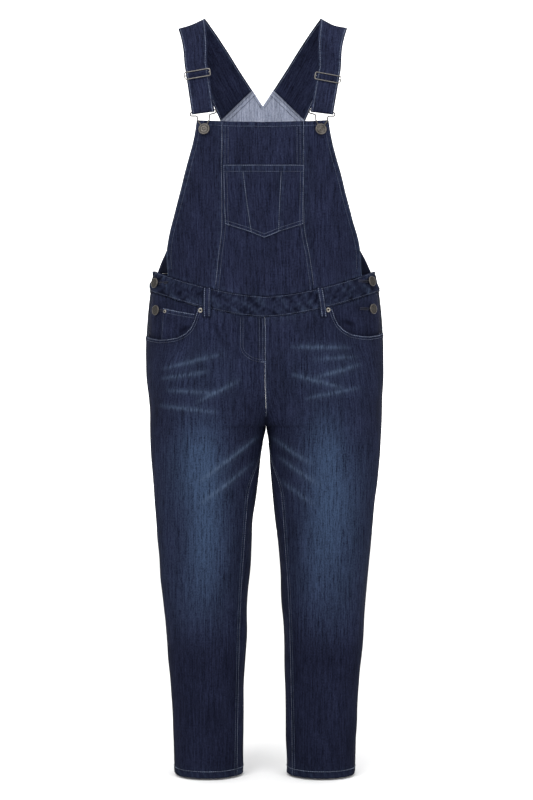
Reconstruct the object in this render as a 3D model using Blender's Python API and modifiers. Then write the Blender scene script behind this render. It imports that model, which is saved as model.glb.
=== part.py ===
# Denim overalls in their worn, filled-out form, with nobody inside.
# Metres, +Z up. The front faces -Y, the wearer's left is +X and has names ending in _l.
# Z = 0 is the top of the shoulder straps, where the wearer carries the garment.

import math

import bmesh
import bpy
import numpy as np
from mathutils import Vector

for old in list(bpy.data.objects):
    bpy.data.objects.remove(old, do_unlink=True)

# Main heights
BIB_TOP_Z = -0.2068
BIB_CORNER_RISE = 0.0034
WAIST_FRONT_Z = -0.5560
WAIST_SIDE_RISE = 0.0510
WAIST_SIDE_X = 0.2120
WAIST_CURVE = 1.6
WAIST_BACK_Z = -0.4950
WAIST_LEVEL_Z = -0.5200
BAND_TOP_LEVEL_Z = -0.4800
WAIST_BACK_DROP = 0.0100
BAND_HEIGHT = 0.0375
CROTCH_Z = -0.7520
HEM_Z = -1.3920
HEM_DEPTH = 0.0150

# Cloth thicknesses and clearances
DENIM = 0.0016
HEM_WALL = 0.0028
BAND_WALL = 0.0024
STRAP_WALL = 0.0020
POCKET_WALL = 0.0012
SEAM_GAP = 0.0002
HEM_GAP = 0.0005
BAND_GAP = 0.0011
LAYER_GAP = 0.0005

# Body form: outer surface of the cloth at each height, one half of the garment
BODY_COLUMNS = ("z", "half_width", "inner_x", "front_y", "back_y", "mid_x")
BODY = (
    (-0.100, 0.1720, 0.0001, -0.080, 0.084, 0.085),
    (-0.150, 0.1810, 0.0001, -0.096, 0.096, 0.085),
    (-0.205, 0.1870, 0.0001, -0.112, 0.104, 0.080),
    (-0.260, 0.1890, 0.0001, -0.123, 0.108, 0.065),
    (-0.320, 0.1900, 0.0001, -0.128, 0.109, 0.050),
    (-0.380, 0.1920, 0.0001, -0.126, 0.109, 0.040),
    (-0.430, 0.1970, 0.0001, -0.121, 0.111, 0.030),
    (-0.470, 0.2040, 0.0001, -0.118, 0.116, 0.030),
    (-0.505, 0.2115, 0.0001, -0.119, 0.124, 0.040),
    (-0.556, 0.2174, 0.0001, -0.120, 0.135, 0.050),
    (-0.600, 0.2200, 0.0001, -0.119, 0.142, 0.060),
    (-0.650, 0.2203, 0.0001, -0.116, 0.144, 0.080),
    (-0.704, 0.2165, 0.0001, -0.111, 0.139, 0.100),
    (-0.752, 0.2140, 0.0001, -0.106, 0.128, 0.107),
    (-0.778, 0.2125, 0.0046, -0.104, 0.121, 0.108),
    (-0.815, 0.2100, 0.0083, -0.101, 0.114, 0.109),
    (-0.852, 0.2068, 0.0130, -0.099, 0.108, 0.110),
    (-0.889, 0.2035, 0.0167, -0.096, 0.103, 0.110),
    (-0.963, 0.1970, 0.0230, -0.090, 0.095, 0.110),
    (-1.074, 0.1869, 0.0315, -0.079, 0.087, 0.109),
    (-1.148, 0.1813, 0.0346, -0.071, 0.084, 0.108),
    (-1.222, 0.1748, 0.0370, -0.065, 0.080, 0.106),
    (-1.296, 0.1702, 0.0389, -0.061, 0.074, 0.1045),
    (-1.393, 0.1672, 0.0404, -0.056, 0.067, 0.1035),
)
SQUARENESS = 2.3
FRONT_RISE = 0.110
BACK_RISE = 0.170
SADDLE = 0.060
INSEAM_TURN = 0.36
INSEAM_TURN_DROP = 0.130

# The bib and the straps lean a little to the wearer's right
LEAN = -0.0037
LEAN_TOP_Z = -0.340
LEAN_BOTTOM_Z = -0.520

# Bib: half-widths of its outer edge and of its two long seams
BIB_EDGE = (
    ("z", "x"),
    (-0.195, 0.1165),
    (-0.236, 0.1232),
    (-0.307, 0.1414),
    (-0.378, 0.1609),
    (-0.413, 0.1708),
    (-0.431, 0.1740),
    (-0.450, 0.1754),
    (-0.500, 0.1752),
)
BIB_SEAM = (
    ("z", "x"),
    (-0.195, 0.0714),
    (-0.386, 0.0714),
    (-0.450, 0.0800),
    (-0.520, 0.0880),
)

# Bib pocket, pointed, in three panels
POCKET_TOP_Z = -0.2850
POCKET_SHIFT = 0.0020
POCKET_TOP_HALF = 0.0727
POCKET_LOW_HALF = 0.0703
POCKET_CORNER_Z = -0.3907
POCKET_KNEE_X = 0.0270
POCKET_KNEE_Z = -0.4044
POCKET_TIP_Z = -0.4152
POCKET_SEAMS = (
    ("top_x", "bottom_x"),
    (-0.0404, -0.0249),
    (0.0336, 0.0274),
)

# Curved pocket mouths in the trouser fronts
MOUTH = (
    ("x", "z"),
    (0.1175, -0.5300),
    (0.1205, -0.5420),
    (0.1255, -0.5580),
    (0.1320, -0.5710),
    (0.1420, -0.5810),
    (0.1560, -0.5880),
    (0.1750, -0.5910),
    (0.1900, -0.5910),
    (0.2050, -0.5880),
    (0.2180, -0.5830),
)
MOUTH_SHIFT = 0.0030
FACING_COLUMNS = 9
FACING_ROWS = 5
COIN_FIRST_COLUMN = 5
COIN_LAST_COLUMN = 8
COIN_OUTER_Z = -0.5362
COIN_INNER_Z = -0.5494
COIN_BOTTOM_Z = -0.6120

# Belt loops: centre line, width, top and bottom
BELT_LOOPS = (
    ("side", "top_x", "bottom_x", "width"),
    (-1, 0.1020, 0.1025, 0.0150),
    (1, 0.0980, 0.1056, 0.0120),
)
LOOP_TOP_Z = -0.5025
LOOP_BOTTOM_Z = -0.5560
LOOP_SEAT = 0.0003
LOOP_SWELL = 0.0022

# Back panel: outer edge curve and its notched top
BACK_EDGE = (
    ("z", "x"),
    (-0.1706, 0.0811),
    (-0.2000, 0.0880),
    (-0.2500, 0.1010),
    (-0.3000, 0.1195),
    (-0.3500, 0.1445),
    (-0.4000, 0.1705),
    (-0.4340, 0.1873),
    (-0.4675, 0.2000),
)
NOTCH_Z = -0.1446
HORN_X = 0.0206
HORN_Z = -0.1142
HORN_COLUMN = 0.3

# Straps from the back panel over the shoulder: inner and outer edge
STRAP_RAILS = (
    ("inner_x", "inner_y", "inner_z", "outer_x", "outer_y", "outer_z"),
    (0.0211, 0.0868, -0.1137, 0.0816, 0.0987, -0.1701),
    (0.0440, 0.0800, -0.0800, 0.1000, 0.0885, -0.1300),
    (0.0680, 0.0640, -0.0440, 0.1220, 0.0710, -0.0830),
    (0.0900, 0.0400, -0.0150, 0.1420, 0.0420, -0.0400),
    (0.1015, 0.0180, -0.0030, 0.1520, 0.0190, -0.0230),
    (0.1053, -0.0020, -0.0012, 0.1555, -0.0020, -0.0192),
    (0.1050, -0.0220, -0.0070, 0.1540, -0.0220, -0.0250),
    (0.1030, -0.0420, -0.0280, 0.1490, -0.0420, -0.0430),
    (0.1005, -0.0580, -0.0580, 0.1440, -0.0580, -0.0690),
)
STRAP_LOW_HALF = 0.0205
SLIDER_AT = (0.1180, -0.0790, -0.1182)
SLIDER_STEP = 0.0033
BAR_RISE = 0.0349
BAR_SHIFT = 0.0036
STRAP_TILT = 0.2080
STRAP_PATH = (
    ("along", "out"),
    (-0.0240, -0.0026),
    (-0.0130, -0.0030),
    (-0.0075, -0.0030),
    (-0.0037, 0.0000),
    (0.0000, 0.0030),
    (0.0037, 0.0000),
    (0.0075, -0.0030),
    (0.0130, -0.0030),
    (0.0360, -0.0016),
    (0.0620, 0.0012),
)
TAIL_PATH = (
    ("along", "out"),
    (0.0620, -0.0030),
    (0.0360, -0.0042),
    (0.0130, -0.0056),
    (0.0075, -0.0056),
    (0.0045, -0.0046),
    (0.0022, -0.0034),
)
WRAP_RADIUS = 0.0027

# Hardware
HOOK_WIRE = 0.0024
HOOK_SEAT = 0.0026
HOOK_BEND = 0.0020
HOOK_PATH = (
    ("across", "down"),
    (0.0235, 0.0000),
    (0.0235, 0.0050),
    (0.0110, 0.0062),
    (0.0105, 0.0140),
    (0.0047, 0.0215),
    (0.0047, 0.0314),
)
SLIDER_WIRE = 0.0020
SLIDER_HALF = 0.0233
SLIDER_HALF_HEIGHT = 0.0075
BIB_BUTTON_X = 0.1034
BIB_BUTTON_Z = -0.2216
BUTTON_RADIUS = 0.0102
SIDE_BUTTON_RADIUS = 0.0092
BUTTON_PROFILE = (
    ("radius", "height"),
    (0.00, 0.0066),
    (0.32, 0.0065),
    (0.64, 0.0060),
    (0.74, 0.0063),
    (0.90, 0.0063),
    (1.00, 0.0056),
    (1.00, 0.0049),
    (0.93, 0.0043),
)
SHANK_RADIUS = 0.0028
BUTTON_BASE = 0.0004
SIDE_BUTTONS = (
    ("name", "side", "x", "z", "layer"),
    ("side_button_upper_r", -1, 0.1950, -0.4920, "band"),
    ("side_button_lower_r", -1, 0.1985, -0.5405, "facing"),
    ("side_button_upper_l", 1, 0.1910, -0.4890, "band"),
    ("side_button_lower_l", 1, 0.1960, -0.5385, "facing"),
)
BUTTON_TURN = 0.25
SIDE_BUTTON_LIFT = 0.0002
RIVETS = (
    ("name", "side", "x", "z", "layer", "size"),
    ("rivet_pocket_r", -1, 0.1145, -0.5435, "panel", 1.0),
    ("rivet_pocket_l", 1, 0.1135, -0.5425, "panel", 1.0),
    ("rivet_coin_r", -1, 0.1825, -0.5432, "coin", 0.75),
)
RIVET_PROFILE = (
    ("radius", "height"),
    (0.0000, 0.0009),
    (0.0014, 0.0008),
    (0.0023, 0.0015),
    (0.0035, 0.0015),
    (0.0045, 0.0007),
    (0.0045, 0.0004),
)

# Largest folds of the legs: soft ridges between two points, with their spread and height
FOLDS = (
    ("face", "x0", "z0", "x1", "z1", "spread", "height"),
    ("front", -0.187, -0.650, -0.065, -0.618, 0.013, 0.0022),
    ("front", -0.195, -0.715, -0.075, -0.728, 0.014, 0.0022),
    ("front", -0.112, -0.850, -0.026, -0.780, 0.013, 0.0028),
    ("front", -0.110, -0.900, -0.028, -0.826, 0.013, 0.0022),
    ("front", -0.165, -1.050, -0.070, -1.075, 0.018, 0.0022),
    ("front", -0.150, -1.255, -0.065, -1.232, 0.018, 0.0020),
    ("front", 0.185, -0.640, 0.075, -0.664, 0.013, 0.0022),
    ("front", 0.185, -0.690, 0.065, -0.705, 0.014, 0.0022),
    ("front", 0.095, -0.832, 0.024, -0.782, 0.013, 0.0028),
    ("front", 0.095, -0.896, 0.032, -0.846, 0.013, 0.0022),
    ("front", 0.160, -1.066, 0.070, -1.050, 0.018, 0.0022),
    ("front", 0.145, -1.222, 0.060, -1.250, 0.018, 0.0020),
    ("back", -0.150, -0.800, -0.040, -0.850, 0.016, 0.0030),
    ("back", -0.155, -1.050, -0.055, -1.070, 0.016, 0.0032),
    ("back", -0.150, -1.120, -0.060, -1.100, 0.016, 0.0026),
    ("back", -0.140, -1.290, -0.060, -1.310, 0.018, 0.0024),
    ("back", 0.150, -0.810, 0.040, -0.845, 0.016, 0.0030),
    ("back", 0.150, -1.066, 0.055, -1.046, 0.016, 0.0032),
    ("back", 0.155, -1.105, 0.060, -1.125, 0.016, 0.0026),
    ("back", 0.140, -1.300, 0.060, -1.284, 0.018, 0.0024),
)

# Mesh density
LEG_ROWS_ABOVE = 13
LEG_ROWS_BELOW = 16
FRONT_COLUMNS = 14
BACK_COLUMNS = 12
BAND_COLUMNS = 15

# Colours
DENIM_RGB = (0.020, 0.030, 0.075)
INSIDE_RGB = (0.280, 0.330, 0.430)
METAL_RGB = (0.160, 0.130, 0.085)
RIVET_RGB = (0.420, 0.400, 0.340)

collection = bpy.data.collections.new("overalls")
cutters = bpy.data.collections.new("cutters")
bpy.context.scene.collection.children.link(collection)
bpy.context.scene.collection.children.link(cutters)


def rows_of(table):
    """Rows of a table whose first row names the columns."""
    names = table[0]
    return [dict(zip(names, row)) for row in table[1:]]


def curve_through(places, values, at):
    """Smooth curve through points that keeps rising or falling where they do."""
    order = np.argsort(places)
    x = np.asarray(places, float)[order]
    y = np.asarray(values, float)[order]
    steps = np.diff(x)
    slopes = np.diff(y) / steps
    tangent = np.zeros_like(x)
    tangent[0] = slopes[0]
    tangent[-1] = slopes[-1]
    same = slopes[1:] * slopes[:-1] > 0
    left = 2 * steps[1:] + steps[:-1]
    right = steps[1:] + 2 * steps[:-1]
    safe_a = np.where(same, slopes[:-1], 1.0)
    safe_b = np.where(same, slopes[1:], 1.0)
    mean = (left + right) / (left / safe_a + right / safe_b)
    tangent[1:-1] = np.where(same, mean, 0.0)
    at = np.clip(np.asarray(at, float), x[0], x[-1])
    i = np.clip(np.searchsorted(x, at) - 1, 0, len(x) - 2)
    t = (at - x[i]) / steps[i]
    start = (2 * t**3 - 3 * t**2 + 1) * y[i] + (t**3 - 2 * t**2 + t) * steps[i] * tangent[i]
    end = (3 * t**2 - 2 * t**3) * y[i + 1] + (t**3 - t**2) * steps[i] * tangent[i + 1]
    return start + end


def column(table, place, value, at):
    """One named column of a table, read at any place."""
    rows = rows_of(table)
    return curve_through([r[place] for r in rows], [r[value] for r in rows], at)


def body(value, z):
    """One measure of the body form at height z."""
    return column((BODY_COLUMNS,) + BODY, "z", value, z)


def ease(t):
    """Soft step from 0 to 1."""
    t = np.clip(t, 0.0, 1.0)
    return t * t * (3.0 - 2.0 * t)


def lean(z):
    """Sideways shift of the upper garment."""
    return LEAN * ease((z - LEAN_BOTTOM_Z) / (LEAN_TOP_Z - LEAN_BOTTOM_Z))


def section(face, u, z):
    """Point of one half's section: u is 0 at the side seam and 1 at the centre seam or inseam."""
    half = body("half_width", z)
    inner = body("inner_x", z)
    mid = body("mid_x", z)
    front = body("front_y", z)
    back = body("back_y", z)
    side_y = 0.5 * (front + back)
    far = front if face == "front" else back
    rise = FRONT_RISE if face == "front" else BACK_RISE
    climb = np.clip((z - CROTCH_Z) / rise, 0.0, 1.0)
    end_y = side_y + (far - side_y) * np.sqrt(1.0 - (1.0 - climb) ** 2)
    other = back if face == "front" else front
    turn = INSEAM_TURN * ease((CROTCH_Z - z) / INSEAM_TURN_DROP) * (-1.0 if face == "front" else 1.0)
    outer_length = np.hypot(half - mid, far - side_y)
    inner_length = np.hypot(mid - inner, far - end_y) * (1.0 + turn)
    share = outer_length / (outer_length + inner_length)
    theta = np.clip(u / share, 0.0, 1.0) * 0.5 * math.pi
    c = np.cos(theta)
    s = np.sin(theta)
    reach = (np.abs(c) ** SQUARENESS + np.abs(s) ** SQUARENESS) ** (-1.0 / SQUARENESS)
    phi = np.clip((u - share) / (1.0 - share), 0.0, 1.0)
    sweep = 0.5 * math.pi * (1.0 + turn) * phi
    round_x = mid - (mid - inner) * np.sin(sweep)
    round_y = end_y + np.where(sweep <= 0.5 * math.pi, far - end_y, end_y - other) * np.cos(sweep)
    flat_x = mid - (mid - inner) * phi
    flat_y = far + (end_y - far) * 0.5 * (1.0 - np.cos(math.pi * phi))
    blend = ease((z - CROTCH_Z) / SADDLE)
    outer = u <= share
    x = np.where(outer, mid + (half - mid) * c * reach, round_x + (flat_x - round_x) * blend)
    y = np.where(outer, side_y + (far - side_y) * s * reach, round_y + (flat_y - round_y) * blend)
    return x, y


def half_girth(face, z):
    """Rough length of one half's section."""
    u = np.linspace(0.0, 1.0, 41)
    x, y = section(face, u, np.full_like(u, z))
    return float(np.sum(np.hypot(np.diff(x), np.diff(y))))


def across(face, x, z):
    """The u at which the section reaches half-width x."""
    x = np.abs(x)
    low = np.zeros_like(x + z)
    high = np.ones_like(x + z)
    for _ in range(34):
        middle = 0.5 * (low + high)
        wide = section(face, middle, z)[0] > x
        low = np.where(wide, middle, low)
        high = np.where(wide, high, middle)
    return 0.5 * (low + high)


def fold_height(face, x, z):
    """Height of the folds over the smooth form."""
    total = np.zeros_like(x)
    for fold in rows_of(FOLDS):
        if fold["face"] != face:
            continue
        run = np.array((fold["x1"] - fold["x0"], fold["z1"] - fold["z0"]))
        length = float(np.hypot(*run))
        along = ((x - fold["x0"]) * run[0] + (z - fold["z0"]) * run[1]) / length**2
        off = ((x - fold["x0"]) * run[1] - (z - fold["z0"]) * run[0]) / length
        taper = np.sin(math.pi * np.clip(along, 0.0, 1.0))
        total += fold["height"] * taper * np.exp(-0.5 * (off / fold["spread"]) ** 2)
    return total


def surface(face, side, u, z, out=0.0):
    """Points on the outer surface of one half, moved out along its normal, with those normals."""
    u = np.asarray(u, float) + np.zeros_like(z)
    z = np.asarray(z, float) + np.zeros_like(u)

    def point(uu, zz):
        x, y = section(face, uu, zz)
        return np.stack((side * x + lean(zz), y, zz), axis=-1)

    du = 0.002
    dz = 0.002
    p = point(u, z)
    along = point(np.clip(u + du, 0.0, 1.0), z) - point(np.clip(u - du, 0.0, 1.0), z)
    up = point(u, z + dz) - point(u, z - dz)
    normal = np.cross(along, up) * side * (-1.0 if face == "front" else 1.0)
    normal /= np.linalg.norm(normal, axis=-1, keepdims=True)
    lift = out + fold_height(face, p[..., 0], z)
    p = p + normal * np.asarray(lift)[..., None]
    return p, normal


def on_body(face, x, z, out=0.0):
    """Points over the plan position (x, z), with x measured from the centre line."""
    x = np.asarray(x, float) + np.zeros_like(z)
    z = np.asarray(z, float) + np.zeros_like(x)
    u = across(face, x, z)
    p_l, n_l = surface(face, 1, u, z, out)
    p_r, n_r = surface(face, -1, u, z, out)
    left = (x >= 0.0)[..., None]
    return np.where(left, p_l, p_r), np.where(left, n_l, n_r)


def waist_seam_z(face, x):
    """Height of the seam between waistband and legs."""
    share = np.abs(x) / WAIST_SIDE_X
    if face == "front":
        return WAIST_FRONT_Z + WAIST_SIDE_RISE * share**WAIST_CURVE
    return WAIST_BACK_Z - WAIST_BACK_DROP * share**2


def principled(name, rgb, roughness, metallic):
    material = bpy.data.materials.new(name)
    material.use_nodes = True
    shader = material.node_tree.nodes["Principled BSDF"]
    shader.inputs["Base Color"].default_value = (*rgb, 1.0)
    shader.inputs["Roughness"].default_value = roughness
    shader.inputs["Metallic"].default_value = metallic
    return material


def finish(obj, rgb, roughness, metallic, smooth=True):
    """Give an object its material, shading and collection."""
    obj.data.materials.append(principled(obj.name + "_material", rgb, roughness, metallic))
    if smooth and obj.type == "MESH":
        obj.data.shade_smooth()
        obj.data.set_sharp_from_angle(angle=math.radians(40))
    collection.objects.link(obj)
    return obj


def sheet(name, points, normals, wall, rgb=DENIM_RGB, hem_rows=0, centred=False):
    """A cloth piece: an open grid of points on its outer side, given a wall with Solidify."""
    rows, columns = points.shape[:2]
    verts = [tuple(p) for p in points.reshape(-1, 3)]
    a = points[1:, :-1] - points[:-1, :-1]
    b = points[:-1, 1:] - points[:-1, :-1]
    outward = float(np.sum(np.cross(b, a) * normals[:-1, :-1])) > 0.0
    faces = []
    for i in range(rows - 1):
        for j in range(columns - 1):
            k = i * columns + j
            quad = (k, k + 1, k + 1 + columns, k + columns)
            faces.append(quad if outward else quad[::-1])
    mesh = bpy.data.meshes.new(name)
    mesh.from_pydata(verts, [], faces)
    obj = bpy.data.objects.new(name, mesh)
    solid = obj.modifiers.new("wall", "SOLIDIFY")
    solid.thickness = wall
    solid.offset = 0.0 if centred else -1.0
    if hem_rows:
        group = obj.vertex_groups.new(name="hem")
        solid.thickness = HEM_WALL
        solid.vertex_group = group.name
        solid.thickness_vertex_group = wall / HEM_WALL
        first = (rows - hem_rows) * columns
        group.add(list(range(first, rows * columns)), 1.0, "REPLACE")
    return finish(obj, rgb, 0.85, 0.0)


def spread_columns(count):
    """Column places from 0 to 1, a little closer at both ends."""
    t = np.linspace(0.0, 1.0, count + 1)
    return 0.8 * t + 0.2 * 0.5 * (1.0 - np.cos(math.pi * t))


def leg_grid(face, columns):
    """The u and z of each grid point of a trouser panel, rows from waist seam to hem."""
    u = spread_columns(columns)
    top_x = section(face, u, np.full_like(u, WAIST_LEVEL_Z))[0]
    top = waist_seam_z(face, top_x) - SEAM_GAP
    above = np.linspace(1.0, 0.0, LEG_ROWS_ABOVE + 1) ** 1.3
    below = np.linspace(0.0, 1.0, LEG_ROWS_BELOW + 1)[1:] ** 1.12
    z_above = CROTCH_Z + (top[None, :] - CROTCH_Z) * above[:, None]
    leg = HEM_Z + HEM_DEPTH - CROTCH_Z
    z_below = (CROTCH_Z + leg * below)[:, None] + np.zeros_like(u)[None, :]
    hem = np.array((HEM_Z + HEM_DEPTH - 0.0015, HEM_Z))[:, None] + np.zeros_like(u)[None, :]
    z = np.concatenate((z_above, z_below, hem))
    grid = np.zeros_like(z) + u[None, :]
    for i in range(len(z)):
        gap = SEAM_GAP if i < len(z) - 2 else HEM_GAP
        margin = gap / half_girth(face, float(np.mean(z[i])))
        grid[i] = margin + (1.0 - 2.0 * margin) * grid[i]
    return grid, z


def mouth_cutter(side):
    """The shape cut out of a trouser front for its pocket mouth."""
    points = [(r["x"], r["z"] - side * -MOUTH_SHIFT) for r in rows_of(MOUTH)]
    points += [(0.2600, points[-1][1] + 0.008), (0.2600, -0.4600), (points[0][0], -0.4600)]
    data = bpy.data.curves.new("mouth_outline", "CURVE")
    data.dimensions = "2D"
    data.fill_mode = "BOTH"
    data.extrude = 0.15
    spline = data.splines.new("POLY")
    spline.points.add(len(points) - 1)
    for point, (x, z) in zip(spline.points, points):
        point.co = (side * x, z, 0.0, 1.0)
    spline.use_cyclic_u = True
    outline = bpy.data.objects.new("mouth_outline", data)
    outline.rotation_euler = (math.radians(90), 0.0, 0.0)
    outline.location = (0.0, -0.10, 0.0)
    bpy.context.scene.collection.objects.link(outline)
    cutter = as_mesh(outline, "mouth_cutter_" + ("l" if side > 0 else "r"))
    cutters.objects.link(cutter)
    cutter.hide_render = True
    cutter.display_type = "WIRE"
    return cutter


def as_mesh(obj, name):
    """Turn a curve object into a closed mesh object and remove the curve."""
    bpy.context.view_layer.update()
    graph = bpy.context.evaluated_depsgraph_get()
    mesh = bpy.data.meshes.new_from_object(obj.evaluated_get(graph))
    work = bmesh.new()
    work.from_mesh(mesh)
    bmesh.ops.remove_doubles(work, verts=work.verts, dist=0.00001)
    bmesh.ops.recalc_face_normals(work, faces=work.faces)
    work.to_mesh(mesh)
    work.free()
    made = bpy.data.objects.new(name, mesh)
    made.matrix_world = obj.matrix_world.copy()
    bpy.data.objects.remove(obj, do_unlink=True)
    return made


def boolean(obj, other, operation):
    cut = obj.modifiers.new(operation.lower(), "BOOLEAN")
    cut.operation = operation
    cut.solver = "EXACT"
    cut.object = other
    return cut


def wire(name, points, diameter):
    """A closed loop of round wire."""
    data = bpy.data.curves.new(name, "CURVE")
    data.dimensions = "3D"
    data.bevel_depth = 0.5 * diameter
    data.bevel_resolution = 2
    data.use_fill_caps = True
    spline = data.splines.new("POLY")
    spline.points.add(len(points) - 1)
    for point, place in zip(spline.points, points):
        point.co = (*place, 1.0)
    spline.use_cyclic_u = True
    return bpy.data.objects.new(name, data)


def rounded_loop(points, radius, steps):
    """Round each corner of a closed outline."""
    made = []
    count = len(points)
    for i in range(count):
        here = np.array(points[i])
        before = np.array(points[i - 1])
        after = np.array(points[(i + 1) % count])
        cut_a = min(radius, 0.48 * float(np.linalg.norm(before - here)))
        cut_b = min(radius, 0.48 * float(np.linalg.norm(after - here)))
        a = here + (before - here) / np.linalg.norm(before - here) * cut_a
        b = here + (after - here) / np.linalg.norm(after - here) * cut_b
        for t in np.linspace(0.0, 1.0, steps):
            made.append((1 - t) ** 2 * a + 2 * t * (1 - t) * here + t * t * b)
    return made


def turned(name, profile, place, axis, rgb, steps):
    """A turned piece: a profile from its top centre down to its base, spun round its own Z."""
    mesh = bpy.data.meshes.new(name)
    verts = [(r, 0.0, h) for r, h in profile]
    mesh.from_pydata(verts, [(i, i + 1) for i in range(len(verts) - 1)], [])
    obj = bpy.data.objects.new(name, mesh)
    spin = obj.modifiers.new("turn", "SCREW")
    spin.axis = "Z"
    spin.steps = steps
    spin.render_steps = steps
    spin.use_merge_vertices = True
    spin.merge_threshold = 0.00001
    spin.use_smooth_shade = False
    obj.location = Vector(place)
    obj.rotation_mode = "QUATERNION"
    obj.rotation_quaternion = Vector((0.0, 0.0, 1.0)).rotation_difference(Vector(axis))
    return finish(obj, rgb, 0.40, 1.0, smooth=False)


# Trouser legs, with the pocket mouths cut from the fronts
SIDES = (("r", -1), ("l", 1))
front_u, front_z = leg_grid("front", FRONT_COLUMNS)
back_u, back_z = leg_grid("back", BACK_COLUMNS)
for tag, side in SIDES:
    points, normals = surface("front", side, front_u, front_z)
    leg = sheet("front_leg_" + tag, points, normals, DENIM, hem_rows=2)
    boolean(leg, mouth_cutter(side), "DIFFERENCE")
    points, normals = surface("back", side, back_u, back_z)
    sheet("back_leg_" + tag, points, normals, DENIM, hem_rows=2)

# Pocket facings behind the mouths, on the same grid lines as the fronts
coin_out = -DENIM - LAYER_GAP
facing_out = coin_out - POCKET_WALL - LAYER_GAP
for tag, side in SIDES:
    u = front_u[: FACING_ROWS + 1, : FACING_COLUMNS + 1]
    z = front_z[: FACING_ROWS + 1, : FACING_COLUMNS + 1]
    depth = np.full_like(z, facing_out)
    depth[0] = coin_out
    points, normals = surface("front", side, u, z, depth)
    sheet("pocket_facing_" + tag, points, normals, POCKET_WALL)

# Coin pocket on the right facing
columns = front_u[0, COIN_FIRST_COLUMN : COIN_LAST_COLUMN + 1]
tops = np.linspace(COIN_OUTER_Z, COIN_INNER_Z, len(columns))
shares = np.linspace(0.0, 1.0, 5)
coin_z = tops[None, :] + (COIN_BOTTOM_Z - tops[None, :]) * shares[:, None]
coin_u = np.zeros_like(coin_z) + columns[None, :]
points, normals = surface("front", -1, coin_u, coin_z, coin_out)
sheet("coin_pocket_r", points, normals, POCKET_WALL)

# Waistband, front and back
band_out = 0.5 * (BAND_WALL - DENIM)
for face in ("front", "back"):
    half_u = spread_columns(BAND_COLUMNS)
    half_u[0] = SEAM_GAP / half_girth(face, -0.49)
    half_x = section(face, half_u, np.full_like(half_u, WAIST_LEVEL_Z))[0]
    seam = waist_seam_z(face, half_x) + SEAM_GAP
    shares = np.array((0.0, 0.5, 1.0))
    z = seam[None, :] + BAND_HEIGHT * shares[:, None]
    u = np.zeros_like(z) + half_u[None, :]
    swell = band_out + 0.0008 * np.sin(math.pi * shares)[:, None] + np.zeros_like(z)
    left, left_n = surface(face, 1, u, z, swell)
    right, right_n = surface(face, -1, u, z, swell)
    points = np.concatenate((left[:, :-1], right[:, ::-1]), axis=1)
    normals = np.concatenate((left_n[:, :-1], right_n[:, ::-1]), axis=1)
    sheet("waistband_" + face, points, normals, BAND_WALL)


def band_top_z(face, x):
    """Height of the waistband's top edge, with the seam's gap, at half-width x."""
    u = across(face, x, np.full_like(x, BAND_TOP_LEVEL_Z))
    level_x = section(face, u, np.full_like(u, WAIST_LEVEL_Z))[0]
    return waist_seam_z(face, level_x) + BAND_HEIGHT + BAND_GAP


def bib_top_z(x):
    return BIB_TOP_Z + BIB_CORNER_RISE * (x / 0.1177) ** 2


def bib_grid(left_edge, right_edge, columns, rows):
    """Points of a bib panel between two edges, each a function of z."""
    t = np.linspace(0.0, 1.0, columns + 1)[None, :]
    v = np.linspace(0.0, 1.0, rows + 1)[:, None]
    low_x = left_edge(-0.50) + (right_edge(-0.50) - left_edge(-0.50)) * t
    high_x = left_edge(-0.205) + (right_edge(-0.205) - left_edge(-0.205)) * t
    low_z = band_top_z("front", low_x)
    z = low_z + (bib_top_z(high_x) - low_z) * v
    x = left_edge(z) + (right_edge(z) - left_edge(z)) * t
    return x, z


# Bib in three panels
def bib_seam(z):
    return column(BIB_SEAM, "z", "x", z)


def bib_edge(z):
    return column(BIB_EDGE, "z", "x", z)


x, z = bib_grid(lambda h: SEAM_GAP - bib_seam(h), lambda h: bib_seam(h) - SEAM_GAP, 8, 13)
sheet("bib_centre", *on_body("front", x, z), DENIM)
for tag, side in SIDES:
    x, z = bib_grid(lambda h: bib_seam(h) + SEAM_GAP, bib_edge, 5, 13)
    sheet("bib_side_" + tag, *on_body("front", side * x, z), DENIM)


# Bib pocket in three panels
def pocket_side(z, sign):
    low = (z - POCKET_TOP_Z) / (POCKET_CORNER_Z - POCKET_TOP_Z)
    return sign * (POCKET_TOP_HALF + (POCKET_LOW_HALF - POCKET_TOP_HALF) * low)


def pocket_seam(z, seam):
    low = (z - POCKET_TOP_Z) / (POCKET_KNEE_Z - POCKET_TOP_Z)
    return seam["top_x"] + (seam["bottom_x"] - seam["top_x"]) * low


def pocket_bottom_z(x):
    reach = (POCKET_KNEE_X, POCKET_LOW_HALF)
    inner = POCKET_TIP_Z + (POCKET_KNEE_Z - POCKET_TIP_Z) * np.abs(x) / reach[0]
    slope = (POCKET_CORNER_Z - POCKET_KNEE_Z) / (reach[1] - reach[0])
    outer = POCKET_KNEE_Z + slope * (np.abs(x) - reach[0])
    return np.where(np.abs(x) < reach[0], inner, outer)


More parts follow.
